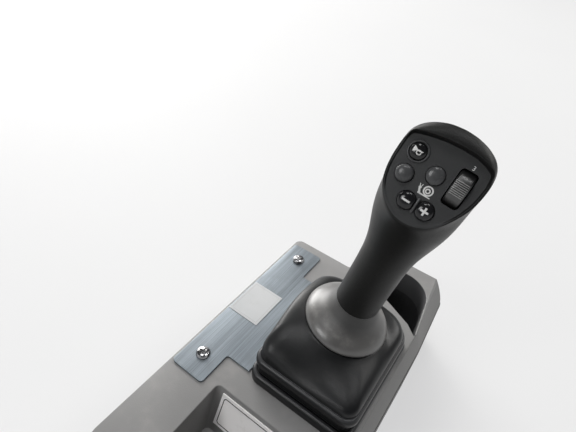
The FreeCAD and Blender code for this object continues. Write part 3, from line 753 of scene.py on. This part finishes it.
def makeFlange():
    bm = bmesh.new()
    loop, marks = raisedLoop(bm, bootShape["flange"])
    inner = [rectanglePlace(mark, bootShape["flangeInner"]) for mark in marks]
    loop = pushLoop(bm, loop, inner)
    pushLoop(bm, loop, [Vector((p.x, p.y, 0.0)) for p in inner])
    mesh = finishMesh(bm, "bootFrame", deckSpace, 50.0)
    return putPiece("bootFrame", mesh, "console", bootRubber, "boot_rubber", "boot_flange")


def sideShares(across, along):
    # how far a direction looks outboard, inboard, rear and front; the shares add up to 1
    return (max(0.0, -across) ** 2, max(0.0, across) ** 2, max(0.0, -along) ** 2, max(0.0, along) ** 2)


def cornerShares(across, along):
    # 1 in the middle of a corner: front outboard, rear outboard, rear inboard, front inboard
    strength = (2 * abs(across * along)) ** 2
    corner = {(True, True): 0, (True, False): 1, (False, False): 2, (False, True): 3}[(across < 0, along > 0)]
    return [strength if i == corner else 0.0 for i in range(4)]


def slopeCurves(marks):
    # one curve for each vertex, from the ridge's edge to the collar's rim
    s = bootShape
    toDeck = deckSpace.inverted() @ leverSpace
    curves = []
    starts = [rectanglePlace(mark, s["edge"]) for mark in marks]
    for start in starts:
        turn = math.atan2((start.y - s["middle"]) / s["edge"][2], start.x / s["edge"][1])
        across, along = math.cos(turn), math.sin(turn)
        share = sideShares(across, along)
        pick = {key: sum(w * v for w, v in zip(share, s[key])) for key in ("rise", "leanIn", "reach", "fall")}
        corner = cornerShares(across, along)
        pick["rise"] += sum(w * v for w, v in zip(corner, s["cornerRise"]))
        pick["leanIn"] += sum(w * v for w, v in zip(corner, s["cornerLean"]))
        rim = toDeck @ Vector((across * s["rimRadius"], along * s["rimRadius"], s["rimHeight"]))
        outward = Vector((across, along, 0.0))
        curves.append((start, start + Vector((0, 0, pick["rise"])) - outward * pick["leanIn"],
                       rim + outward * pick["reach"] - Vector((0, 0, pick["fall"])), rim))
    return curves


def makeSkirt():
    s = bootShape
    bm = bmesh.new()
    loop, marks = raisedLoop(bm, s["ridge"] + [s["edge"]])
    curves = slopeCurves(marks)
    for step in range(1, s["steps"] + 1):
        loop = pushLoop(bm, loop, [bezier(*curve, step / s["steps"]) for curve in curves])
    centre = deckSpace.inverted() @ leverSpace @ Vector((0.0, 0.0, s["rimHeight"] + 0.3))
    pushLoop(bm, loop, [rim + (centre - rim).normalized() * s["tuck"] for *_, rim in curves])
    mesh = finishMesh(bm, "bootSkirt", deckSpace, 60.0)
    skirt = bpy.data.objects.new("bootSkirtWhole", mesh)
    bpy.context.scene.collection.objects.link(skirt)
    thick = skirt.modifiers.new("wall", "SOLIDIFY")
    thick.thickness = s["wall"] * 0.001
    thick.offset = -1.0
    applied(subdivided(skirt, 1))
    splitSkirt(skirt)


def splitSkirt(skirt):
    # cut across the lever at the middle height, into a lower and an upper half that keep the whole skirt's
    # normals
    low, middle, top = [leverSpace @ Vector((0.0, 0.0, h)) for h in bootShape["bend"]]
    axis = (top - low).normalized()
    bm = bmesh.new()
    bm.from_mesh(skirt.data)
    bmesh.ops.bisect_plane(bm, geom=allOf(bm), plane_co=middle, plane_no=axis, dist=1e-7)
    bm.normal_update()
    for name, keep, bodies, ends in (("bootSkirt", -1, ("console", "gimbal"), (low, middle)),
                                     ("bootNeck", 1, ("gimbal", "lever"), (middle, top))):
        part = bm.copy()
        gone = [f for f in part.faces if (f.calc_center_median() - middle).dot(axis) * keep < 0]
        bmesh.ops.delete(part, geom=gone, context="FACES")
        part.verts.ensure_lookup_table()
        whole = {tuple(round(c, 7) for c in v.co): v.normal.copy() for v in bm.verts}
        normals = [whole[tuple(round(c, 7) for c in v.co)] for v in part.verts]
        mesh = bpy.data.meshes.new(name)
        part.to_mesh(mesh)
        part.free()
        mesh.shade_smooth()
        mesh.normals_split_custom_set_from_vertices([tuple(n) for n in normals])
        piece = putPiece(name, mesh, None, bootRubber, "boot_rubber", "boot_skirt")
        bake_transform(piece)
    bm.free()
    bpy.data.objects.remove(skirt)


collarShape = {
    # radius and height along the lever, from under the rim to the neck under the grip
    "profile": [(34.0, 40.2), (37.0, 38.4), (38.9, 36.7), (39.6, 36.8), (39.9, 37.6), (39.8, 38.7),
                (39.3, 40.0), (38.3, 41.9), (36.6, 44.0), (34.2, 46.1), (31.4, 47.9), (28.8, 49.5),
                (26.3, 51.4), (24.0, 53.8), (21.9, 56.7), (20.0, 60.0), (18.4, 63.0), (17.3, 65.8),
                (16.9, 68.6), (8.0, 68.6), (7.4, 60.0), (7.4, 53.0), (20.0, 49.5), (29.0, 44.5)],
    "steps": 96,
}


def spun(bm, profile, steps):
    # turns a profile round the Z axis
    verts = [bm.verts.new((radius, 0.0, height)) for radius, height in profile]
    edges = [bm.edges.new(pair) for pair in zip(verts, verts[1:])]
    bmesh.ops.spin(bm, geom=verts + edges, cent=(0, 0, 0), axis=(0, 0, 1), angle=math.tau, steps=steps,
                   use_merge=True)
    bmesh.ops.remove_doubles(bm, verts=bm.verts, dist=0.001)


def makeCollar():
    bm = bmesh.new()
    profile = collarShape["profile"]
    spun(bm, profile + profile[:1], collarShape["steps"])
    mesh = finishMesh(bm, "bootCollar", leverSpace, 60.0)
    return subdivided(putPiece("bootCollar", mesh, "lever", collarRubber, "boot_rubber", "boot_collar"), 1)


makeFlange()
makeSkirt()
makeCollar()
print("boot made")


# Grip
gripShape = {
    "points": 96,
    # front and back (y, z), half width, squareness, and share of the face's own outline
    "sections": [
        ((-17.6, 66.9), (17.6, 66.9), 17.6, 2.0, 0.0), ((-19.2, 66.7), (19.2, 66.7), 19.2, 2.0, 0.0),
        ((-20.0, 67.0), (20.0, 67.0), 20.0, 2.0, 0.0), ((-20.3, 67.8), (20.3, 67.8), 20.3, 2.0, 0.0),
        ((-20.2, 69.0), (20.2, 69.0), 20.2, 2.0, 0.0), ((-20.0, 72.0), (20.0, 72.0), 20.0, 2.0, 0.0),
        ((-20.0, 100.0), (20.0, 100.0), 20.0, 2.0, 0.0),
        ((-20.0, 122.0), (20.0, 122.0), 20.0, 2.0, 0.0), ((-20.5, 136.0), (20.2, 137.0), 20.8, 2.05, 0.0),
        ((-22.0, 148.0), (20.7, 151.0), 22.8, 2.1, 0.02), ((-24.4, 158.5), (21.3, 165.0), 25.3, 2.2, 0.06),
        ((-27.6, 168.5), (21.9, 180.0), 27.8, 2.3, 0.14), ((-31.2, 178.0), (22.2, 197.0), 29.6, 2.45, 0.30),
        ((-34.8, 185.0), (20.8, 215.0), 30.4, 2.6, 0.52), ((-37.4, 189.4), (15.0, 232.0), 30.2, 2.7, 0.76),
        ((-38.7, 191.6), (4.5, 244.6), 29.8, 2.8, 0.93)],
    # the middle of the face in its own plane, and half its length there
    "centre": (2.6, -1.8), "faceDepth": 33.8,
    # steps from the foot to the middle of the face
    "insets": (0.7, 2.4),
    # three outlines in the face's plane: the head's edge, the crest of rim and brow, the foot of the face
    "outline": [(-27.3, 4.0), (-26.9, 10.5), (-25.9, 16.2), (-22.0, 22.3), (-15.6, 26.8), (-7.5, 30.0),
                (2.6, 31.1), (11.3, 30.4), (19.0, 28.3), (25.6, 24.9), (30.0, 20.2), (32.0, 14.0),
                (32.6, 7.0), (32.2, 0.0), (31.2, -7.0), (28.8, -13.6), (25.2, -21.0), (20.6, -27.8),
                (15.2, -32.3), (8.8, -35.3), (2.0, -36.5), (-5.8, -35.9), (-13.9, -31.6), (-19.9, -26.5),
                (-24.5, -18.8), (-26.4, -11.5), (-27.3, -3.5)],
    "crest": [(-25.6, 5.0), (-25.4, 11.0), (-24.4, 15.9), (-14.5, 18.7), (-4.5, 20.4), (5.7, 21.3),
              (16.5, 21.1), (23.8, 19.5), (30.1, 16.7), (31.0, 8.0), (30.7, 0.0), (29.7, -6.6),
              (27.3, -14.0), (24.0, -20.9), (19.5, -27.0), (14.2, -31.2), (8.1, -34.1), (1.8, -35.3),
              (-5.7, -34.6), (-13.2, -30.4), (-19.0, -25.6), (-23.4, -18.2), (-25.1, -11.0), (-25.8, -3.0)],
    "foot": [(-24.7, 5.0), (-24.5, 11.0), (-24.2, 14.2), (-14.1, 17.1), (-3.9, 19.0), (6.8, 19.7),
             (16.7, 19.4), (23.2, 17.8), (29.0, 15.3), (29.9, 8.0), (29.6, 0.0), (28.6, -6.0),
             (26.2, -14.0), (23.0, -20.4), (18.6, -26.0), (13.4, -30.0), (7.6, -32.8), (1.6, -33.9),
             (-5.6, -33.2), (-12.6, -29.4), (-18.2, -24.8), (-22.4, -17.6), (-24.2, -10.4), (-24.9, -3.0)],
    # crest height at the sides, under the brow and at the lip
    "crestHeight": (0.75, 6.0, 0.12),
    # share of the way from edge to crest with share of the height, then from crest to foot
    "climb": [(0.10, 0.22), (0.28, 0.52), (0.52, 0.80), (0.78, 0.96), (0.93, 1.0), (1.0, 0.985)],
    "drop": [(0.14, 0.86), (0.40, 0.48), (0.70, 0.16), (0.90, 0.03), (1.0, 0.0)],
}


def rayToOutline(outline, centre, turn):
    # where the ray from the centre crosses the outline
    ahead = Vector((math.cos(turn), math.sin(turn)))
    middle = Vector(centre)
    for i, corner in enumerate(outline):
        a = Vector(outline[i - 1]) - middle
        b = Vector(corner) - middle
        side = b - a
        cross = ahead.x * side.y - ahead.y * side.x
        if abs(cross) < 1e-9:
            continue
        reach = (a.x * side.y - a.y * side.x) / cross
        share = (a.x * ahead.y - a.y * ahead.x) / cross
        if reach > 0 and -1e-9 <= share <= 1 + 1e-9:
            return reach
    return 30.0


def outlineReach(shape, outline, passes):
    # distances from the centre to an outline, softened over the neighbours in a few passes
    count = shape["points"]
    reach = [rayToOutline(shape[outline], shape["centre"], math.tau * i / count) for i in range(count)]
    for _ in range(passes):
        reach = [0.25 * reach[i - 1] + 0.5 * reach[i] + 0.25 * reach[(i + 1) % count] for i in range(count)]
    return reach


def makeGrip():
    s = gripShape
    count = s["points"]
    bm = bmesh.new()
    bmesh.ops.create_circle(bm, segments=count, radius=1.0)
    loop = loopInOrder(bm.verts[:])
    turns = [math.atan2(v.co.y, v.co.x) % math.tau for v in loop]
    places = [round(turn / math.tau * count) % count for turn in turns]
    edges, crests, feet = [[reach[i] for i in places] for reach in (
        outlineReach(s, "outline", 2), outlineReach(s, "crest", 1), outlineReach(s, "foot", 0))]
    for index, (front, back, half, square, share) in enumerate(s["sections"]):
        lean = Vector((0.0, back[0] - front[0], back[1] - front[1]))
        depth = lean.length / 2
        lean.normalize()
        middle = Vector((0.0, (front[0] + back[0]) / 2, (front[1] + back[1]) / 2))
        places = []
        for turn, far in zip(turns, edges):
            c, d = math.cos(turn), math.sin(turn)
            oval = Vector((half * math.copysign(abs(c) ** (2 / square), c),
                           depth * math.copysign(abs(d) ** (2 / square), d)))
            edge = Vector((s["centre"][0] + faceSeat.x + c * far, d * far * depth / s["faceDepth"]))
            flat = oval.lerp(edge, share)
            places.append(middle + Vector((flat.x, 0, 0)) + lean * flat.y)
        if index == 0:
            moveLoop(loop, places)
            bmesh.ops.contextual_create(bm, geom=loopEdges(bm, loop))
        else:
            loop = pushLoop(bm, loop, places)

    def facePlaces(reaches, heights):
        centre = Vector((*s["centre"], 0.0))
        return [faceTilt @ (centre + Vector((math.cos(turn) * far, math.sin(turn) * far, high)))
                for turn, far, high in zip(turns, reaches, heights)]

    tops = []
    for turn, far in zip(turns, crests):
        up = s["centre"][1] + math.sin(turn) * far
        side, brow, lip = s["crestHeight"]
        tops.append(mixed(mixed(side, brow, eased(up, 9.5, 16.5)), lip, eased(-up, 12.0, 26.0)))
    loop = pushLoop(bm, loop, facePlaces(edges, [0.0] * count))
    for share, high in s["climb"]:
        loop = pushLoop(bm, loop, facePlaces([mixed(a, b, share) for a, b in zip(edges, crests)],
                                             [high * top for top in tops]))
    for share, high in s["drop"]:
        loop = pushLoop(bm, loop, facePlaces([mixed(a, b, share) for a, b in zip(crests, feet)],
                                             [high * top for top in tops]))
    for inset in s["insets"]:
        loop = pushLoop(bm, loop, facePlaces([far - inset for far in feet], [0.0] * count))
    bmesh.ops.contextual_create(bm, geom=loopEdges(bm, loop))
    mesh = finishMesh(bm, "gripShell", leverSpace, 75.0)
    grip = putPiece("gripShell", mesh, None, gripBlack, "grip_black", "grip_front_shell", "grip_rear_shell",
                    "grip_face")
    applied(subdivided(grip, 2))
    cutters = makeCutters()
    for index, cutter in enumerate(cutters):
        cut = grip.modifiers.new("pocket%d" % index, "BOOLEAN")
        cut.operation = "DIFFERENCE"
        cut.solver = "EXACT"
        cut.object = cutter
    bpy.context.view_layer.update()
    applied(grip)
    for cutter in cutters:
        bpy.data.objects.remove(cutter)
    bm = bmesh.new()
    bm.from_mesh(grip.data)
    bm.normal_update()
    for edge in bm.edges:
        edge.smooth = len(edge.link_faces) == 2 and edge.calc_face_angle(0.0) < math.radians(48.0)
    for face in bm.faces:
        face.smooth = True
    bm.to_mesh(grip.data)
    bm.free()
    grip.data.materials.clear()
    grip.data.materials.append(gripBlack)
    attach(grip, "lever")
    return grip


keyPlaces = {
    # across, up, radius, rise and the side that is cut flat
    "hornKey": (-14.5, 6.1, 5.6, 3.2, 0), "leftKey": (-14.5, -9.5, 5.9, 4.2, 0),
    "rightKey": (2.4, -1.3, 5.9, 2.6, 0), "minusKey": (-4.1, -23.0, 6.0, 3.7, 1),
    "plusKey": (8.9, -23.0, 6.0, 3.7, -1),
}
# running gap, reach of the flat sides, lowest point, depth of the holes, and the form of the domes
keyFit = {"gap": 0.35, "flat": 4.9, "foot": -6.0, "pocket": -9.0, "rimShare": 0.25, "roundness": 0.72}
rollerFit = {"centre": (18.4, -0.8), "width": 10.3, "radius": 12.6, "rise": 5.0, "ribs": 8, "pitch": 5.6,
             "slot": 24.7, "gap": 0.7}
# half length, lowest and highest point, and corner radius, of the roller's slot and the space under it
slotCuts = ((rollerFit["slot"] / 2, -6.0, 4.0, 2.6), (14.6, -24.0, -4.5, 0.5))


def faceCutter(name, bm):
    mesh = finishMesh(bm, name, faceSpace)
    cutter = bpy.data.objects.new(name, mesh)
    bpy.context.scene.collection.objects.link(cutter)
    cutter.hide_render = True
    return cutter


def cutSide(bm, side, reach):
    # cuts a flat on one side and closes it
    bmesh.ops.bisect_plane(bm, geom=allOf(bm), plane_co=(side * reach, 0, 0), plane_no=(side, 0, 0),
                           clear_outer=True)
    bmesh.ops.holes_fill(bm, edges=[e for e in bm.edges if e.is_boundary])


def makeCutters():
    cutters = []
    for name, (across, up, radius, rise, flat) in keyPlaces.items():
        bm = bmesh.new()
        bmesh.ops.create_cone(bm, cap_ends=True, segments=48, radius1=radius + keyFit["gap"],
                              radius2=radius + keyFit["gap"], depth=12.0)
        bmesh.ops.translate(bm, vec=(0, 0, keyFit["pocket"] + 6.0), verts=bm.verts)
        if flat:
            cutSide(bm, flat, keyFit["flat"] + keyFit["gap"])
        bmesh.ops.translate(bm, vec=(across, up, 0), verts=bm.verts)
        cutters.append(faceCutter("cut" + name, bm))
    across, up = rollerFit["centre"]
    halfX = rollerFit["width"] / 2 + rollerFit["gap"]
    for index, (halfY, low, high, corner) in enumerate(slotCuts):
        bm = bmesh.new()
        boxAt(bm, (halfX, halfY, (high - low) / 2), (across, up, (high + low) / 2))
        tall = [e for e in bm.edges if abs(e.verts[0].co.z - e.verts[1].co.z) > 1.0]
        bevelEdges(bm, tall, corner, 6)
        cutters.append(faceCutter("cutRoller%d" % index, bm))
    return cutters


def domeProfile(radius, rise, steps=9):
    edge = rise * keyFit["rimShare"]
    points = [(radius - 0.05, keyFit["foot"]), (radius, edge * 0.6)]
    for i in range(steps + 1):
        turn = math.pi / 2 * i / steps
        points.append((radius * math.cos(turn) ** keyFit["roundness"], edge + (rise - edge) * math.sin(turn)))
    return points[:-1] + [(0.0, rise)]


def domeHeight(radius, rise, away):
    edge = rise * keyFit["rimShare"]
    turn = math.acos(min(1.0, (away / radius) ** (1 / keyFit["roundness"])))
    return edge + (rise - edge) * math.sin(turn)


def makeKey(name, body, node, material, slot):
    across, up, radius, rise, flat = keyPlaces[name]
    bm = bmesh.new()
    spun(bm, domeProfile(radius, rise), 56)
    bmesh.ops.holes_fill(bm, edges=[e for e in bm.edges if e.is_boundary])
    if flat:
        cutSide(bm, flat, keyFit["flat"])
        rim = [e for e in bm.edges if e.calc_face_angle(0.0) > math.radians(50.0) and e.verts[0].co.z > -1.0]
        bevelEdges(bm, rim, 0.45, 3)
    bmesh.ops.translate(bm, vec=(across, up, 0), verts=bm.verts)
    return putPiece(name, finishMesh(bm, name, faceSpace, 40.0), body, material, slot, node)


def flatShape(bm, kind, **size):
    # one flat outline of a pictogram: a bar, a disc or a ring
    before = set(bm.verts)
    if kind == "bar":
        bmesh.ops.create_grid(bm, x_segments=4, y_segments=1, size=1.0)
    elif kind == "disc":
        bmesh.ops.create_circle(bm, segments=28, radius=1.0, cap_ends=True)
    verts = [v for v in bm.verts if v not in before]
    if kind == "ring":
        made = bmesh.ops.create_circle(bm, segments=36, radius=size["outer"], cap_ends=True)["verts"]
        face = [f for f in bm.faces if f.verts[0] in made]
        bmesh.ops.inset_region(bm, faces=face, thickness=size["outer"] - size["inner"], use_boundary=True)
        bmesh.ops.delete(bm, geom=face, context="FACES")
        verts = [v for v in bm.verts if v not in before]
    else:
        bmesh.ops.scale(bm, vec=(size["long"] / 2, size["wide"] / 2, 1.0), verts=verts)
    if "flare" in size:
        for vert in verts:
            vert.co.y *= mixed(1.0, size["flare"], (vert.co.x / size["long"] + 0.5))
    if "turn" in size:
        turn = Matrix.Rotation(math.radians(size["turn"]), 3, "Z")
        bmesh.ops.rotate(bm, cent=(0, 0, 0), matrix=turn, verts=verts)
    bmesh.ops.translate(bm, vec=(*size["at"], 0.0), verts=verts)


def layMark(bm, name, body, across, up, heightAt, lift):
    # gives a pictogram its thickness and lays it on the surface under it
    bmesh.ops.subdivide_edges(bm, edges=bm.edges[:], cuts=1, use_grid_fill=True)
    made = bmesh.ops.extrude_face_region(bm, geom=bm.faces[:])["geom"]
    upper = {v for v in made if isinstance(v, bmesh.types.BMVert)}
    for vert in bm.verts:
        base = heightAt(vert.co.x, vert.co.y)
        vert.co.z = base + (lift if vert in upper else -0.15)
    bmesh.ops.translate(bm, vec=(across, up, 0), verts=bm.verts)
    return putPiece(name, finishMesh(bm, name, faceSpace, 60.0), body, markWhite, "grip_black")


def onKey(name):
    across, up, radius, rise, flat = keyPlaces[name]
    return across, up, lambda x, y: domeHeight(radius, rise, math.hypot(x, y))


snailPlace = (3.1, -12.0)
# the numeral is sunk a little into the face
numeral = {"place": (18.5, 13.7, -0.06), "size": 4.0, "height": 0.1}


markShapes = {
    # the body and the key that it lies on, how far it stands out, and its flat shapes
    "minusMark": ("minus_key", "minusKey", 0.04, [("bar", {"long": 5.4, "wide": 1.3, "at": (0.2, 0.0)})]),
    "plusMarkAcross": ("plus_key", "plusKey", 0.04, [("bar", {"long": 5.4, "wide": 1.4, "at": (0.3, 0.0)})]),
    "plusMarkUp": ("plus_key", "plusKey", 0.045, [
        ("bar", {"long": 5.4, "wide": 1.4, "at": (0.3, 0.0), "turn": 90.0})]),
    # a horn: flared bell, tube and coiled loop
    "hornMark": ("horn_key", "hornKey", 0.04, [
        ("bar", {"long": 2.6, "wide": 4.0, "at": (-2.1, 0.5), "flare": 0.28}),
        ("bar", {"long": 4.2, "wide": 0.8, "at": (1.1, 0.5)}),
        ("ring", {"outer": 1.7, "inner": 1.05, "at": (0.9, -0.55)})]),
    # a snail for the slow range, on the face: shell of two rings, foot, neck, head and feelers
    "snailMark": ("lever", None, 0.04, [
        ("ring", {"outer": 3.3, "inner": 2.35, "at": (0.9, 0.6)}),
        ("ring", {"outer": 1.75, "inner": 0.9, "at": (0.7, 0.4)}),
        ("bar", {"long": 8.6, "wide": 1.1, "at": (-0.2, -3.0), "flare": 0.5}),
        ("bar", {"long": 3.4, "wide": 1.3, "at": (-4.0, -1.7), "turn": 118.0}),
        ("disc", {"long": 1.9, "wide": 1.7, "at": (-4.7, 0.3)}),
        ("bar", {"long": 2.0, "wide": 0.45, "at": (-5.4, 1.7), "turn": 112.0}),
        ("bar", {"long": 2.0, "wide": 0.45, "at": (-4.1, 1.8), "turn": 78.0})]),
}


def makeMarks():
    for name, (body, key, lift, shapes) in markShapes.items():
        bm = bmesh.new()
        for kind, size in shapes:
            flatShape(bm, kind, **size)
        place = onKey(key) if key else (*snailPlace, lambda x, y: 0.0)
        layMark(bm, name, body, *place, lift)


def makeNumeral():
    # the channel number above the roller
    words = bpy.data.curves.new("rollerNumber", "FONT")
    words.body = "3"
    words.size = numeral["size"]
    words.align_x = words.align_y = "CENTER"
    holder = bpy.data.objects.new("rollerNumberText", words)
    bpy.context.scene.collection.objects.link(holder)
    bpy.context.view_layer.update()
    flat = bpy.data.meshes.new_from_object(holder.evaluated_get(bpy.context.evaluated_depsgraph_get()))
    bpy.data.objects.remove(holder)
    bm = bmesh.new()
    bm.from_mesh(flat)
    thicken(bm, numeral["height"])
    bmesh.ops.translate(bm, vec=numeral["place"], verts=bm.verts)
    putPiece("rollerNumber", finishMesh(bm, "rollerNumber", faceSpace), "lever", markWhite, "grip_black")


def makeHornRing():
    across, up, radius, rise, flat = keyPlaces["hornKey"]
    inner, outer = radius + 0.2, radius + 1.6
    profile = [(inner, -0.4), (inner, 0.75), (inner + 0.15, 1.08), (inner + 0.45, 1.25), (outer - 0.45, 1.1),
               (outer - 0.12, 0.7), (outer, 0.1), (outer, -0.4), (inner, -0.4)]
    bm = bmesh.new()
    spun(bm, profile, 64)
    bmesh.ops.translate(bm, vec=(across, up, 0), verts=bm.verts)
    mesh = finishMesh(bm, "hornRing", faceSpace, 50.0)
    return putPiece("hornRing", mesh, "lever", keySoft, "grip_black", "horn_bezel")


barFit = {"half": (0.85, 5.3, 1.0), "place": (2.4, -23.0, 0.6), "rounding": 0.6}


def makeDivider():
    bm = bmesh.new()
    boxAt(bm, barFit["half"], barFit["place"])
    upper = [e for e in bm.edges if max(v.co.z for v in e.verts) > 1.0]
    bevelEdges(bm, upper, barFit["rounding"], 4)
    mesh = finishMesh(bm, "keyBar", faceSpace)
    return putPiece("keyBar", mesh, "lever", keySoft, "grip_black", "key_divider")


def makeRoller():
    r = rollerFit
    half, radius = r["width"] / 2, r["radius"]
    centre = Matrix.Translation((r["centre"][0], r["centre"][1], r["rise"] - radius))
    lying = Matrix.Rotation(math.pi / 2, 4, "Y")
    bm = bmesh.new()
    lower = [(2.0, -half), (radius - 1.2, -half), (radius - 0.5, -half + 0.25), (radius - 0.12, -half + 0.7),
             (radius, -half + 1.3)]
    spun(bm, lower + [(far, -high) for far, high in reversed(lower)], 120)
    reach = half + r["gap"] + 1.5
    spun(bm, [(0.0, -reach), (2.0, -reach), (2.0, reach), (0.0, reach)], 24)
    bmesh.ops.transform(bm, matrix=centre @ lying, verts=bm.verts)
    mesh = finishMesh(bm, "thumbRoller", faceSpace, 40.0)
    putPiece("thumbRoller", mesh, "thumb_roller", rollerBlack, "roller_black", "roller")
    bm = bmesh.new()
    for i in range(r["ribs"]):
        rib = boxAt(bm, (half - 0.7, 0.22, 0.5), (0, 0, radius - 0.1))
        turn = math.radians((i - (r["ribs"] - 1) / 2) * r["pitch"])
        bmesh.ops.rotate(bm, cent=(0, 0, 0), matrix=Matrix.Rotation(turn, 3, "X"), verts=rib)
    bevelEdges(bm, bm.edges[:], 0.12, 2)
    bmesh.ops.transform(bm, matrix=centre, verts=bm.verts)
    mesh = finishMesh(bm, "rollerRibs", faceSpace, 40.0)
    # the ribs carry a painted highlight
    putPiece("rollerRibs", mesh, "thumb_roller", ribPaintedHighlight, "roller_black")


keyDress = {
    # body, node, material and slot
    "hornKey": ("horn_key", "horn_button", keyGloss, "key_gloss"),
    "leftKey": ("left_key", "left_button", keySoft, "key_soft"),
    "rightKey": ("right_key", "right_button", keySoft, "key_soft"),
    "minusKey": ("minus_key", "minus_button", keyGloss, "key_gloss"),
    "plusKey": ("plus_key", "plus_button", keyGloss, "key_gloss"),
}

makeGrip()
for name, dress in keyDress.items():
    makeKey(name, *dress)
makeHornRing()
makeDivider()
makeRoller()
makeMarks()
makeNumeral()
print("grip made")


# Floor, light and camera
class Sky(Finish):
    # the world's nodes, made in the same way
    def __init__(self, world):
        world.use_nodes = True
        self.tree = world.node_tree
        self.tree.nodes.clear()


def seenStraight(f):
    # 1 for what the camera sees, mirrors or looks through, 0 for what only lights the part
    rays = [f.add("ShaderNodeLightPath", out=ray) for ray in
            ("Is Camera Ray", "Is Glossy Ray", "Is Transmission Ray")]
    return f.largest(f.largest(rays[0], rays[1]), rays[2])


def makeFloor():
    bm = bmesh.new()
    bmesh.ops.create_grid(bm, x_segments=1, y_segments=1, size=6.0)
    mesh = bpy.data.meshes.new("floor")
    bm.to_mesh(mesh)
    bm.free()
    f = Finish("floorPale")
    spot = f.place()
    cloud = f.noise(spot, 1.2, 3.0)
    colour = f.mix(cloud, (0.22, 0.22, 0.218), (0.25, 0.25, 0.248))
    glow = f.mix(seenStraight(f), (0.0, 0.0, 0.0), (0.52, 0.52, 0.525))
    mesh.materials.append(f.close(Base_Color=colour, Roughness=0.75, Emission_Color=glow,
                                  Emission_Strength=1.0))
    floor = bpy.data.objects.new("floor", mesh)
    floor.location.z = -0.0002
    bpy.context.scene.collection.objects.link(floor)


def makeWorld():
    world = bpy.data.worlds.new("studio")
    bpy.context.scene.world = world
    f = Sky(world)
    # pale at the horizon, darker overhead where the lamps hang
    height = f.along(f.add("ShaderNodeTexCoord", out="Generated"), "Z")
    climb = f.add("ShaderNodeMapRange", {}, {"Value": height, "From Min": 0.04, "From Max": 0.30})
    sky = f.mix(climb, (0.86, 0.87, 0.88), (0.06, 0.063, 0.067))
    soft = f.add("ShaderNodeBackground", {}, {"Color": (0.95, 0.97, 1.0, 1.0), "Strength": 0.12})
    pale = f.add("ShaderNodeBackground", {}, {"Color": sky, "Strength": 1.0})
    blend = f.add("ShaderNodeMixShader", {}, {0: seenStraight(f), 1: soft, 2: pale})
    f.add("ShaderNodeOutputWorld", {}, {"Surface": blend})


lamps = {
    # place, aim, width, watts, colour and whether it shows in reflections
    "frontWindow": ((-2.75, 2.90, 3.00), (0.0, 0.0, 0.15), 2.4, 100.0, (1.0, 0.99, 0.97), True),
    "sideWindow": ((-4.30, 2.15, 1.60), (0.0, 0.0, 0.20), 2.8, 225.0, (1.0, 0.99, 0.97), True),
    "roofLamp": ((-1.9, -0.9, 4.0), (0.0, 0.0, 0.1), 2.0, 26.0, (0.98, 0.99, 1.0), False),
    "skyLamp": ((-0.6, -0.5, 3.9), (0.0, 0.0, 0.2), 0.9, 22.0, (1.0, 1.0, 1.0), True),
    "stripLamp": ((0.60, 1.05, 3.9), (0.0, 0.0, 0.2), 1.0, 26.0, (1.0, 1.0, 1.0), True),
    "rearLamp": ((-1.5, -3.3, 2.6), (0.0, 0.0, 0.2), 1.4, 50.0, (1.0, 1.0, 1.0), True),
    "doorLamp": ((1.9, 3.1, 2.9), (0.05, 0.05, 0.2), 1.2, 60.0, (1.0, 0.99, 0.97), True),
}


def makeLamps():
    for name, (place, aim, width, watts, colour, mirrored) in lamps.items():
        lamp = bpy.data.lights.new(name, "AREA")
        lamp.shape = "SQUARE"
        lamp.size = width
        lamp.energy = watts
        lamp.color = colour
        holder = bpy.data.objects.new(name, lamp)
        holder.location = place
        holder.visible_glossy = mirrored
        holder.rotation_euler = (Vector(aim) - Vector(place)).to_track_quat("-Z", "Y").to_euler()
        bpy.context.scene.collection.objects.link(holder)


# place and directions of the camera that was fitted to the photograph
cabView = {
    "place": (0.1007, -0.2015, 0.480), "lens": 27.06,
    "right": (0.80933, 0.57965, 0.09476), "up": (-0.43570, 0.48431, 0.75869),
    "ahead": (-0.39389, 0.65533, -0.64452),
}


def makeCamera():
    right, up, ahead = [Vector(cabView[way]) for way in ("right", "up", "ahead")]
    data = bpy.data.cameras.new("cabView")
    data.sensor_width = 36.0
    data.lens = cabView["lens"]
    data.clip_start = 0.01
    camera = bpy.data.objects.new("cabView", data)
    turn = Matrix((right, up, -ahead)).transposed().to_4x4()
    camera.matrix_world = Matrix.Translation(cabView["place"]) @ turn
    bpy.context.scene.collection.objects.link(camera)
    bpy.context.scene.camera = camera


makeFloor()
makeWorld()
makeLamps()
makeCamera()
bpy.context.scene.view_settings.view_transform = "Standard"
print("stage set")

bpy.context.view_layer.update()
